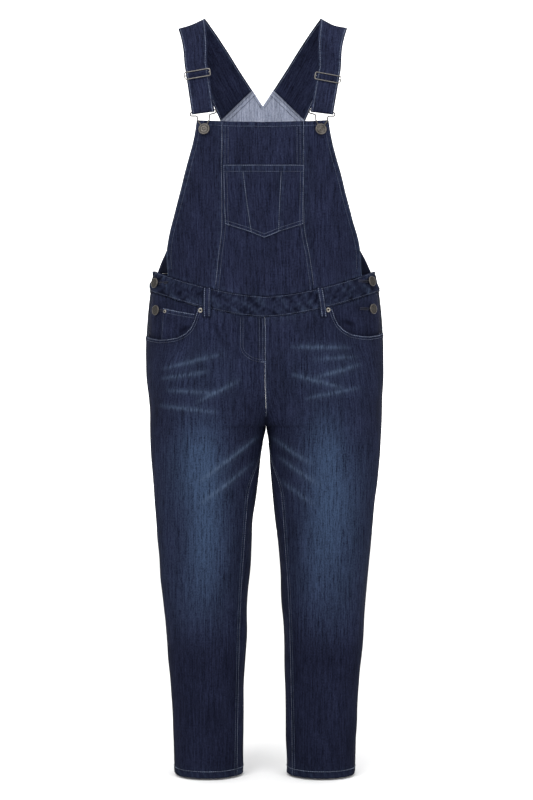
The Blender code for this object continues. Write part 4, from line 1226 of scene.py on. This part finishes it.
def bib_grid(left_edge, right_edge, columns, rows):
    t = np.linspace(0.0, 1.0, columns + 1)[None, :]
    v = np.linspace(0.0, 1.0, rows + 1)[:, None]
    low_x = left_edge(-0.50) + (right_edge(-0.50) - left_edge(-0.50)) * t
    high_x = left_edge(-0.205) + (right_edge(-0.205) - left_edge(-0.205)) * t
    low_z = band_top_z("front", low_x)
    z = low_z + (bib_top_z(high_x) - low_z) * v
    x = left_edge(z) + (right_edge(z) - left_edge(z)) * t
    return x, z


def bib_relief(x, z):
    """Soft upright ripples of the bib."""
    return 0.0007 * waves(x, z, 0.055, 3.0, 61) + 0.0003 * waves(x, z, 0.020, 3.0, 62)


def bib_line(x, z, out=0.0):
    x, z = np.broadcast_arrays(np.asarray(x, float), np.asarray(z, float))
    return line_x(x, z, bib_relief(x, z) + STITCH_OUT + 0.0002 + out)


x, z = bib_grid(lambda h: SEAM_GAP - bib_seam(h), lambda h: bib_seam(h) - SEAM_GAP, 84, 150)
near = bib_seam(z) - np.abs(x)
top_edge = bib_top_z(x) - z
rope = pucker(near, z + 0.3 * np.sign(x), 2.0, 0.006) + pucker(np.abs(top_edge - 0.004), x, 4.4, 0.008, 0.011)
rope = rope + 0.7 * pucker(z - band_top_z("front", x), x, 5.5, 0.008, 0.013)
out = bib_relief(x, z) + BIB_ROPE * rope + 0.0005 * ease(1.0 - (top_edge - 0.009) / 0.002)
points, normals = on_body("front", x, z, out)
cloth("bib_centre", points, normals, DENIM, u_map=warp_map(x) + 0.29, wear=0.16 * rope)
down = np.linspace(-0.2085, -0.512, 120)
short = np.linspace(-0.2160, -0.2830, 30)
soft = [bib_line(s * (bib_seam(short) - 0.0100), short) for s in (-1, 1)]
soft += [bib_line(s * (bib_seam(down) - 0.0045), down) for s in (-1, 1)]
wide = np.linspace(-0.0705, 0.0705, 60)
soft.append(bib_line(wide, bib_top_z(wide) - 0.0085, 0.0005))
stitches("soft_stitching_bib_centre", soft, look="thread_mid")
for tag, side in SIDES:
    x, z = bib_grid(lambda h: bib_seam(h) + SEAM_GAP, bib_edge, 46, 150)
    edge = bib_edge(z) - x
    near = x - bib_seam(z)
    top_edge = bib_top_z(x) - z
    rope = pucker(near, z, 2.7 + side, 0.009) + pucker(np.abs(edge - 0.004), z, 1.1 + side, 0.008, 0.012)
    rope = rope + pucker(np.abs(top_edge - 0.004), x, 3.9 + side, 0.008, 0.011)
    rope = rope + 0.7 * pucker(z - band_top_z("front", x), x, 5.5 + side, 0.008, 0.013)
    felled = 0.0006 * ease(1.0 - (near - 0.0095) / 0.0015)
    turned_edge = 0.0005 * ease(1.0 - (edge - 0.010) / 0.002)
    turned_edge = turned_edge + 0.0005 * ease(1.0 - (top_edge - 0.009) / 0.002)
    out = bib_relief(side * x, z) + BIB_ROPE * rope + felled + turned_edge
    points, normals = on_body("front", side * x, z, out)
    rubbed = 0.50 * fall(edge, 0.0017) * (0.25 + 0.75 * ease((-0.395 - z) / 0.04))
    cloth("bib_side_" + tag, points, normals, DENIM,
          u_map=warp_map(x) + 0.11 * side, wear=0.17 * rope + rubbed)
    low = np.linspace(-0.206, -0.498, 120)
    lines = [bib_line(side * (bib_seam(low) + 0.0016), low, 0.0006)]
    stitches("stitching_bib_side_" + tag, lines, width=0.00040)
    low = np.linspace(-0.206, -0.468, 110)
    soft = [bib_line(side * (bib_edge(low) - step), low, 0.0005) for step in (0.0024, 0.0085)]
    wide = np.linspace(0.0725, 0.1165, 24)
    soft.append(bib_line(side * wide, bib_top_z(wide) - 0.0085, 0.0008))
    stitches("soft_stitching_bib_side_" + tag, soft, look="thread_mid")


# Bib pocket
def pocket_side(z, sign):
    low = (z - POCKET_TOP_Z) / (POCKET_CORNER_Z - POCKET_TOP_Z)
    return sign * (POCKET_TOP_HALF + (POCKET_LOW_HALF - POCKET_TOP_HALF) * low)


def pocket_seam(z, seam):
    low = (z - POCKET_TOP_Z) / (POCKET_KNEE_Z - POCKET_TOP_Z)
    return seam["top_x"] + (seam["bottom_x"] - seam["top_x"]) * low


def pocket_bottom_z(x):
    inner = POCKET_TIP_Z + (POCKET_KNEE_Z - POCKET_TIP_Z) * np.abs(x) / POCKET_KNEE_X
    slope = (POCKET_CORNER_Z - POCKET_KNEE_Z) / (POCKET_LOW_HALF - POCKET_KNEE_X)
    outer = POCKET_KNEE_Z + slope * (np.abs(x) - POCKET_KNEE_X)
    return np.where(np.abs(x) < POCKET_KNEE_X, inner, outer)


def pocket_gape(x, z):
    """How far the pocket's open top stands off the bib."""
    return POCKET_GAPE * ease(1.0 - (POCKET_TOP_Z - z) / 0.05) * np.cos(x / POCKET_TOP_HALF * 0.5 * math.pi)


def pocket_line(x, z, out=0.0):
    x, z = np.broadcast_arrays(np.asarray(x, float), np.asarray(z, float))
    lift = pocket_out + bib_relief(x + POCKET_SHIFT, z) + pocket_gape(x, z) + STITCH_OUT + out
    return line_x(x + POCKET_SHIFT, z, lift)


pocket_out = POCKET_WALL + LAYER_GAP + 0.0004
seams = rows_of(POCKET_SEAMS)
pocket_parts = (
    ("bib_pocket_side_r", lambda h: pocket_side(h, -1), lambda h: pocket_seam(h, seams[0]) - SEAM_GAP, 24),
    ("bib_pocket_centre", lambda h: pocket_seam(h, seams[0]) + SEAM_GAP,
     lambda h: pocket_seam(h, seams[1]) - SEAM_GAP, 46),
    ("bib_pocket_side_l", lambda h: pocket_seam(h, seams[1]) + SEAM_GAP, lambda h: pocket_side(h, 1), 24),
)
for name, first, last, count in pocket_parts:
    t = np.linspace(0.0, 1.0, count + 1)[None, :]
    v = np.linspace(0.0, 1.0, 61)[:, None]
    low_x = first(POCKET_KNEE_Z) + (last(POCKET_KNEE_Z) - first(POCKET_KNEE_Z)) * t
    z = POCKET_TOP_Z + (pocket_bottom_z(low_x) - POCKET_TOP_Z) * v
    x = first(z) + (last(z) - first(z)) * t
    side_a = np.abs(x - first(z))
    side_b = np.abs(last(z) - x)
    rope = pucker(np.minimum(side_a, side_b), z, 3.1 + 10 * first(-0.3), 0.005, 0.010)
    rope = rope + pucker(np.abs(POCKET_TOP_Z - 0.006 - z), x, 1.9, 0.009, 0.011)
    rope = rope + pucker(z - pocket_bottom_z(x), x, 6.1, 0.006, 0.010)
    fall_of_bib = bib_relief(x + POCKET_SHIFT, z)
    edge_fold = 0.0004 * ease(1.0 - (POCKET_TOP_Z - z - 0.011) / 0.0015)
    out = pocket_out + fall_of_bib + PATCH_ROPE * rope + pocket_gape(x, z) + edge_fold
    points, normals = on_body("front", x + POCKET_SHIFT, z, out)
    cloth(name, points, normals, POCKET_WALL, wear=0.18 * rope)

lines = []
soft = []
wide = np.linspace(-0.0715, 0.0715, 60)
lines.append(pocket_line(wide, POCKET_TOP_Z - 0.0016, 0.0006))
soft.append(pocket_line(wide, POCKET_TOP_Z - 0.0125, 0.0004))
for sign in (-1, 1):
    low = np.linspace(POCKET_TOP_Z - 0.001, POCKET_CORNER_Z, 40)
    lines.append(pocket_line(pocket_side(low, sign) - sign * 0.0018, low, 0.0003))
    low = np.linspace(POCKET_TOP_Z - 0.014, POCKET_CORNER_Z - 0.004, 40)
    soft.append(pocket_line(pocket_side(low, sign) - sign * 0.0070, low, 0.0003))
wide = np.linspace(-0.0690, 0.0690, 80)
lines.append(pocket_line(wide, pocket_bottom_z(wide) + 0.0018, 0.0003))
soft.append(pocket_line(wide, pocket_bottom_z(wide) + 0.0075, 0.0003))
for seam, sign in ((seams[0], -1), (seams[1], 1)):
    low = np.linspace(POCKET_TOP_Z - 0.014, POCKET_KNEE_Z + 0.001, 40)
    lines.append(pocket_line(pocket_seam(low, seam) - sign * 0.0018, low, 0.0004))
stitches("stitching_bib_pocket", lines, width=0.00042)
stitches("soft_stitching_bib_pocket", soft, look="thread_mid")

# Belt loops
for row in rows_of(BELT_LOOPS):
    v = np.linspace(0.0, 1.0, 41)[:, None]
    t = np.linspace(-0.5, 0.5, 11)[None, :]
    z = LOOP_TOP_Z + (LOOP_BOTTOM_Z - LOOP_TOP_Z) * v + 0.0 * t
    centre = row["top_x"] + (row["bottom_x"] - row["top_x"]) * v
    x = row["side"] * (centre + row["width"] * t)
    seat = band_out + 0.0004 + LOOP_SEAT + POCKET_WALL
    out = seat + LOOP_SWELL * np.sin(math.pi * v) - 0.0005 * np.abs(2.0 * t) ** 3
    tag = "l" if row["side"] > 0 else "r"
    rope = pucker(0.5 * row["width"] - np.abs(t) * row["width"], z, 1.0 + row["side"], 0.004, 0.008)
    points, normals = on_body("front", x, z, out)
    # Painted shade along the loop's side edges and at its two ends
    ends = fall(v, 0.05) + fall(1.0 - v, 0.05)
    edges = fall((0.5 - np.abs(t)) * row["width"], 0.0011)
    cloth("belt_loop_" + tag, points, normals, POCKET_WALL,
          wear=0.40 * rope, shade=0.85 * edges + 0.60 * ends, inner="denim", v_map=z)
    v = np.linspace(0.02, 0.98, 30)
    z = LOOP_TOP_Z + (LOOP_BOTTOM_Z - LOOP_TOP_Z) * v
    centre = row["top_x"] + (row["bottom_x"] - row["top_x"]) * v
    out = seat + LOOP_SWELL * np.sin(math.pi * v) + STITCH_OUT + 0.0002
    lines = [line_x(row["side"] * (centre + row["width"] * s), z, out) for s in (-0.27, 0.27)]
    stitches("stitching_belt_loop_" + tag, lines)


# Back panel
def back_edge_x(z):
    return column(BACK_EDGE, "z", "x", z)


edge_top = rows_of(BACK_EDGE)[0]
edge_low_z = float(band_top_z("back", np.array(0.2000)))
middle_low_z = float(band_top_z("back", np.array(0.0)))
half = np.concatenate((np.linspace(0.0, HORN_COLUMN, 17), np.linspace(HORN_COLUMN, 1.0, 40)[1:]))
c = half[None, :]
v = np.linspace(0.0, 1.0, 111)[:, None]
horn_share = HORN_X / edge_top["x"]
horn_rise = (HORN_Z - NOTCH_Z) / (edge_top["z"] - NOTCH_Z)
inside = c <= HORN_COLUMN
beyond = (c - HORN_COLUMN) / (1.0 - HORN_COLUMN)
top_g = np.where(inside, horn_share * c / HORN_COLUMN, horn_share + (1.0 - horn_share) * beyond)
top_h = np.where(inside, horn_rise * c / HORN_COLUMN, horn_rise + (1.0 - horn_rise) * beyond)
edge_z = edge_low_z + (edge_top["z"] - edge_low_z) * v
middle_z = middle_low_z + (NOTCH_Z - middle_low_z) * v
x = back_edge_x(edge_z) * (c + (top_g - c) * v)
z = middle_z + (edge_z - middle_z) * (c**2 + (top_h - c**2) * v**3)
to_edge = (back_edge_x(edge_z) - x) * 0.8
to_top = (1.0 - v) * 0.30 + 0.0 * x
rope = pucker(np.abs(to_edge - 0.004), z, 3.3, 0.008, 0.012)
rope = rope + pucker(np.abs(to_top - 0.004), x, 2.1, 0.010, 0.012)
full_x = np.concatenate((-x[:, :0:-1], x), axis=1)
full_z, rope = (np.concatenate((half_grid[:, :0:-1], half_grid), axis=1) for half_grid in (z, rope))


def back_relief(x, z):
    """Soft ripples of the back panel."""
    return 0.0008 * waves(x, z, 0.07, 2.0, 71)


points, normals = on_body("back", full_x, full_z, back_relief(full_x, full_z) + PATCH_ROPE * rope)
# Painted shade on the wrong side at the lower outer corners, seen behind the bib
corner_shade = 0.93 * ease((-0.36 - full_z) / 0.05) * ease((np.abs(full_x) - 0.125) / 0.03)
cloth("back_bib", points, normals, DENIM, u_map=warp_map(full_x) + 0.53,
      wear=0.16 * rope, shade_inside=corner_shade)


def back_line(x, z, inner):
    """A row of stitches on the back panel's outer side, or on its inner side."""
    out = -DENIM - STITCH_OUT - 0.0002 if inner else STITCH_OUT + 0.0002
    p, n = line_x(x, z, back_relief(x, z) + out, "back")
    return p, -n if inner else n


lines = []
corner_a = np.array((HORN_X, HORN_Z))
corner_b = np.array((edge_top["x"], edge_top["z"]))
slope = unit(corner_b - corner_a)
inward = np.array((slope[1], -slope[0]))
for sign in (-1, 1):
    for inner in (False, True):
        for step in (0.0050, 0.0115):
            share = np.linspace(0.0, 1.0, 60)[:, None]
            path = corner_a + (corner_b - corner_a) * share + inward * step
            lines.append(back_line(sign * path[:, 0], path[:, 1], inner))
        low = np.linspace(edge_top["z"] - 0.012, edge_low_z + 0.006, 120)
        lines.append(back_line(sign * (back_edge_x(low) - 0.0090), low, inner))
        top = np.linspace(0.003, HORN_X - 0.002, 20)
        rise = NOTCH_Z + (HORN_Z - NOTCH_Z) * top / HORN_X - 0.0085
        lines.append(back_line(sign * top, rise, inner))
stitches("stitching_back_bib", lines, look="thread_mid")


# Straps
def hook_frame(side):
    place, normal = on_body("front", np.array(side * BIB_BUTTON_X), np.array(BIB_BUTTON_Z), 0.0008)
    up = np.array((side * BAR_SHIFT, 0.0, BAR_RISE))
    up = up - normal * float(np.dot(up, normal))
    bar = place + normal * HOOK_SEAT + up
    down = -unit(up)
    width = unit(np.cross(normal, down))
    return place, normal, bar, width * side * np.sign(width[0]), down


def strap_frame(side):
    mirror = np.array((side, 1.0, 1.0))
    slider = np.array(SLIDER_AT) * mirror + np.array((LEAN, 0.0, -side * SLIDER_STEP))
    bar = hook_frame(side)[2]
    along = unit(bar - slider)
    width = np.array((side * math.cos(STRAP_TILT), 0.0, -math.sin(STRAP_TILT)))
    width = unit(width - along * float(np.dot(width, along)))
    out = np.cross(width, along)
    out *= -np.sign(out[1])
    return slider, along, width, out, float(np.linalg.norm(bar - slider))


def strap(tag, side):
    origin, along, width, out, length = strap_frame(side)
    mirror = np.array((side, 1.0, 1.0))
    shift = np.array((LEAN, 0.0, 0.0))
    rows = rows_of(STRAP_RAILS)
    inner, outer = ([np.array([row[rail + axis] for axis in "xyz"]) * mirror + shift for row in rows]
                    for rail in ("inner_", "outer_"))
    starts = ((inner, HORN_X - 0.0003, HORN_Z - 0.0008),
              (outer, edge_top["x"] - 0.0003, edge_top["z"] - 0.0010))
    for rail, x, z in starts:
        rail[0] = on_body("back", np.array(side * x), np.array(z), -0.0022)[0]
    path = [(r["along"], r["out"]) for r in rows_of(STRAP_PATH)]
    for angle in np.linspace(90.0, -90.0, 9):
        turn = math.radians(angle)
        path.append((length + WRAP_RADIUS * math.cos(turn), WRAP_RADIUS * math.sin(turn)))
    path += [(r["along"], r["out"]) for r in rows_of(TAIL_PATH)]
    bar_width = hook_frame(side)[3]
    for d, n in path:
        centre = origin + along * d + out * n
        lay = unit(width + (bar_width - width) * float(ease(d / length)))
        inner.append(centre - lay * STRAP_LOW_HALF)
        outer.append(centre + lay * STRAP_LOW_HALF)
    inner = np.array(inner)
    outer = np.array(outer)
    run = running(0.5 * (inner + outer))
    over = run[STRAP_BACK_ROWS]
    at = np.concatenate((np.linspace(0.0, over, 70), np.linspace(over, run[-1], 190)[1:]))
    rail_in, rail_out = (np.stack([curve_through(run, rail[:, k], at) for k in range(3)], axis=1)
                         for rail in (inner, outer))
    t = np.linspace(0.0, 1.0, 19)[None, :, None]
    points = rail_in[:, None, :] + (rail_out - rail_in)[:, None, :] * t
    direction = np.gradient(points, at, axis=0)
    normals = np.cross(direction, (rail_out - rail_in)[:, None, :] + 0.0 * points) * side
    normals /= np.linalg.norm(normals, axis=-1, keepdims=True)
    wide = np.linalg.norm(rail_out - rail_in, axis=1)[:, None]
    cross = wide * t[..., 0]
    to_edge = np.minimum(cross, wide - cross)
    ends = at[:, None] + 0.0 * cross
    rope = pucker(np.abs(to_edge - 0.002), ends, 1.0 + side, 0.005, 0.011)
    free = ease(ends / 0.03) * ease((run[STRAP_BACK_ROWS + 1] - ends) / 0.04)
    sag = free * (0.0009 * waves(cross, ends, 0.05, 1.5, 81 + side)
                  - 0.0010 * np.cos(2.0 * math.pi * (t[..., 0] - 0.5)) * free)
    points = points + normals * (sag + 0.00022 * rope)[..., None]
    cloth("strap_" + tag, points, normals, STRAP_WALL, inner="denim",
          wear=0.22 * rope, u_map=cross - 0.5 * wide, v_map=ends + 0.7 * side, centred=True)
    lines = []
    front_stop = int(np.searchsorted(at, run[len(STRAP_RAILS) - 1 + len(STRAP_PATH) - 1] + 0.004))
    inside_stop = int(np.searchsorted(at, over))
    lift = 0.5 * STRAP_WALL + STITCH_OUT * 0.8
    for share, j in ((STRAP_ROW / wide, 1), (1.0 - STRAP_ROW / wide, -2)):
        base = rail_in + (rail_out - rail_in) * share
        for sign, stop in ((1.0, front_stop), (-1.0, inside_stop)):
            n = normals[:stop, j] * sign
            lines.append((base[:stop] + n * lift + normals[:stop, j] * sag[:stop, j][:, None], n))
    stitches("stitching_strap_" + tag, lines)


for tag, side in SIDES:
    strap(tag, side)


# Hardware
def wire(name, points, diameter, look, cyclic=True):
    data = bpy.data.curves.new(name, "CURVE")
    data.dimensions = "3D"
    data.bevel_depth = 0.5 * diameter
    data.bevel_resolution = 5
    data.use_fill_caps = True
    spline = data.splines.new("POLY")
    spline.points.add(len(points) - 1)
    for point, place in zip(spline.points, points):
        point.co = (*place, 1.0)
    spline.use_cyclic_u = cyclic
    holder = placed(name + "_curve", data)
    bpy.context.view_layer.update()
    graph = bpy.context.evaluated_depsgraph_get()
    mesh = bpy.data.meshes.new_from_object(holder.evaluated_get(graph))
    bpy.data.objects.remove(holder, do_unlink=True)
    mesh.name = name
    mesh.materials.clear()
    mesh.materials.append(MATERIALS[look])
    obj = placed(name, mesh)
    mesh.shade_smooth()
    mesh.set_sharp_from_angle(angle=math.radians(WIRE_SHARP_ANGLE))
    return obj


def rounded_loop(points, radius, steps):
    made = []
    count = len(points)
    for i in range(count):
        here = np.array(points[i])
        before = np.array(points[i - 1])
        after = np.array(points[(i + 1) % count])
        cut_a = min(radius, 0.48 * float(np.linalg.norm(before - here)))
        cut_b = min(radius, 0.48 * float(np.linalg.norm(after - here)))
        a = here + unit(before - here) * cut_a
        b = here + unit(after - here) * cut_b
        for t in np.linspace(0.0, 1.0, steps):
            made.append((1 - t) ** 2 * a + 2 * t * (1 - t) * here + t * t * b)
    return made


def turned(name, profile, place, axis, look, steps):
    mesh = bpy.data.meshes.new(name)
    verts = [(r, 0.0, h) for r, h in profile]
    mesh.from_pydata(verts, [(i, i + 1) for i in range(len(verts) - 1)], [])
    obj = placed(name, mesh)
    spin = obj.modifiers.new("turn", "SCREW")
    spin.axis = "Z"
    spin.steps = steps
    spin.render_steps = steps
    spin.use_merge_vertices = True
    spin.merge_threshold = 0.00001
    spin.use_smooth_shade = True
    mesh.materials.append(MATERIALS[look])
    obj.location = Vector(place)
    obj.rotation_mode = "QUATERNION"
    obj.rotation_quaternion = Vector((0.0, 0.0, 1.0)).rotation_difference(Vector(axis))
    return obj


def button(name, radius, place, axis, steps):
    """A tack button on its shank."""
    profile = [(r["radius"] * radius, r["height"]) for r in rows_of(BUTTON_PROFILE)]
    profile += [(SHANK_RADIUS, 0.0043), (SHANK_RADIUS, BUTTON_BASE), (0.0, BUTTON_BASE)]
    dress(turned("metal_" + name, profile, place, axis, "brass", steps), name)


for tag, side in SIDES:
    origin, along, width, out, length = strap_frame(side)
    corners = [(1, -1), (1, 1), (-1, 1), (-1, -1)]
    outline = [origin + width * SLIDER_HALF * a + along * SLIDER_HALF_HEIGHT * b for a, b in corners]
    frame_wire = wire("metal_slider_" + tag, rounded_loop(outline, 0.0035, 7), SLIDER_WIRE, "wire")
    dress(frame_wire, "slider_" + tag)
    ends = [origin + width * SLIDER_HALF * a for a in (-1.0, 1.0)]
    dress(wire("metal_slider_bar_" + tag, ends, SLIDER_WIRE, "wire", cyclic=False), None)
    where, normal, bar, width, down = hook_frame(side)
    button("bib_button_" + tag, BUTTON_RADIUS, where, normal, 56)
    reach = float(np.linalg.norm(where + normal * HOOK_SEAT - bar))
    rows = rows_of(HOOK_PATH)
    stretch = (reach + SHANK_RADIUS + 0.5 * HOOK_WIRE + 0.0005) / rows[-1]["down"]
    half_path = [(r["across"], r["down"] * stretch) for r in rows]
    outline = half_path + [(-a, d) for a, d in half_path[::-1]]
    loop = [bar + width * a + down * d for a, d in outline]
    hook = wire("metal_hook_" + tag, rounded_loop(loop, 0.0028, 7), HOOK_WIRE, "hook")
    dress(hook, "hook_" + tag)

LAYERS = {"panel": 0.0, "band": band_out + 0.0008, "facing": facing_out, "coin": coin_out}
for row in rows_of(SIDE_BUTTONS):
    x = np.array(row["side"] * row["x"])
    where, normal = on_body("front", x, np.array(row["z"]), LAYERS[row["layer"]])
    axis = unit(normal + np.array((0.0, -BUTTON_TURN, 0.0)))
    button(row["name"], SIDE_BUTTON_RADIUS, where + normal * SIDE_BUTTON_LIFT, axis, 48)
    slit_x = row["side"] * np.linspace(row["x"] - 0.022, row["x"] - 0.004, 12)
    slit_z = row["z"] + 0.0 * slit_x
    place, normals = line_x(slit_x, slit_z, LAYERS[row["layer"]] + 0.0003)
    lines = [(place + np.array((0.0, 0.0, s)), normals) for s in (-0.0014, 0.0014)]
    stitches("buttonhole_" + row["name"][12:], lines, pitch=0.0009, length=0.0016, width=0.0010,
             height=0.0004, look="thread_dark")
for row in rows_of(RIVETS):
    x = np.array(row["side"] * row["x"])
    where, normal = on_body("front", x, np.array(row["z"]), LAYERS[row["layer"]])
    profile = [(r["radius"] * row["size"], r["height"]) for r in rows_of(RIVET_PROFILE)]
    profile.append((0.0, profile[-1][1]))
    dress(turned("metal_" + row["name"], profile, where, normal, "steel", 40), row["name"])
    # Painted shade: a near-black disc over the rivet's hollow centre
    eye = [(r["radius"] * row["size"], r["height"]) for r in rows_of(RIVET_EYE)]
    dress(turned("metal_eye_of_" + row["name"], eye, where, normal, "eye", 24), None)

# Fly, with its curved double row and bar tack
down = np.linspace(WAIST_FRONT_Z - 0.002, CROTCH_Z + 0.020, 100)
proud = 0.0007 + 0.0012 * ease((-0.635 - down) / 0.02)
fly = [line_x(np.full_like(down, 0.0014), down, STITCH_OUT + proud)]
short = np.linspace(WAIST_FRONT_Z - 0.002, -0.6340, 60)
soft_fly = [line_x(np.full_like(short, step), short, STITCH_OUT + 0.0006) for step in (-0.0036, -0.0096)]
angle = np.linspace(0.0, 1.0, 60) * 0.5 * math.pi
for inset in (0.0, 0.0045):
    straight = np.stack((np.full(40, FLY_X + inset), np.linspace(WAIST_FRONT_Z, FLY_BEND_Z, 40)), axis=1)
    bend = np.stack((FLY_X + inset + (FLY_BEND_WIDTH - inset) * (1.0 - np.cos(angle)),
                     FLY_BEND_Z - (FLY_BEND_DROP - inset) * np.sin(angle)), axis=1)
    path = np.concatenate((straight, bend[1:]))
    soft_fly.append(line_x(path[:, 0], path[:, 1], STITCH_OUT + 0.0004))
stitches("soft_stitching_fly", soft_fly, look="thread_mid")
stitches("stitching_fly", fly)

tack_lines = []
for row in rows_of(TACKS):
    s = np.linspace(-0.5, 0.5, 12)
    tack_lines.append(line_x(row["x"] + row["dx"] * s, row["z"] + row["dz"] * s, STITCH_OUT + 0.0003))
stitches("bar_tacks", tack_lines, pitch=0.0007, length=0.0014, width=0.0012, height=0.0004, look="thread_mid")

# Floor, backdrop, light and camera
def plane(name, corners, level, emission=0.0):
    """A flat grey piece of the stage."""
    material, _, shader = new_material(name)
    shader.inputs["Base Color"].default_value = grey(level)
    shader.inputs["Roughness"].default_value = 0.9
    shader.inputs["Specular IOR Level"].default_value = 0.0
    if emission:
        shader.inputs["Emission Color"].default_value = grey(1.0)
        shader.inputs["Emission Strength"].default_value = emission
    mesh = bpy.data.meshes.new(name)
    mesh.from_pydata(corners, [], [(0, 1, 2, 3)])
    mesh.materials.append(material)
    placed(name, mesh)


f, b = FLOOR_HALF, BACKDROP_HALF
plane("floor", [(-f, -f, FLOOR_Z), (f, -f, FLOOR_Z), (f, f, FLOOR_Z), (-f, f, FLOOR_Z)], 0.9)
plane("backdrop", [(-b, f, FLOOR_Z - 1), (b, f, FLOOR_Z - 1), (b, f, f), (-b, f, f)], 0.9, 1.0)

for row in rows_of(AREA_LIGHTS):
    light = bpy.data.lights.new(row["name"], "AREA")
    light.shape = "RECTANGLE"
    light.size = light.size_y = row["size"]
    light.energy = row["power"]
    lamp = placed(row["name"], light)
    lamp.location = row["place"]
    direction = Vector(row["target"]) - Vector(row["place"])
    lamp.rotation_euler = direction.to_track_quat("-Z", "Y").to_euler()

world = bpy.data.worlds.new("studio")
world.use_nodes = True
world.node_tree.nodes["Background"].inputs[0].default_value = grey(1.0)
world.node_tree.nodes["Background"].inputs[1].default_value = WORLD_STRENGTH
bpy.context.scene.world = world
bpy.context.scene.view_settings.view_transform = "Standard"

camera_data = bpy.data.cameras.new("camera")
camera_data.lens = CAMERA_LENS
camera_data.sensor_width = CAMERA_SENSOR
camera = placed("camera", camera_data)
camera.location = CAMERA_PLACE
camera.rotation_euler = (math.radians(90.0), 0.0, 0.0)
bpy.context.scene.camera = camera
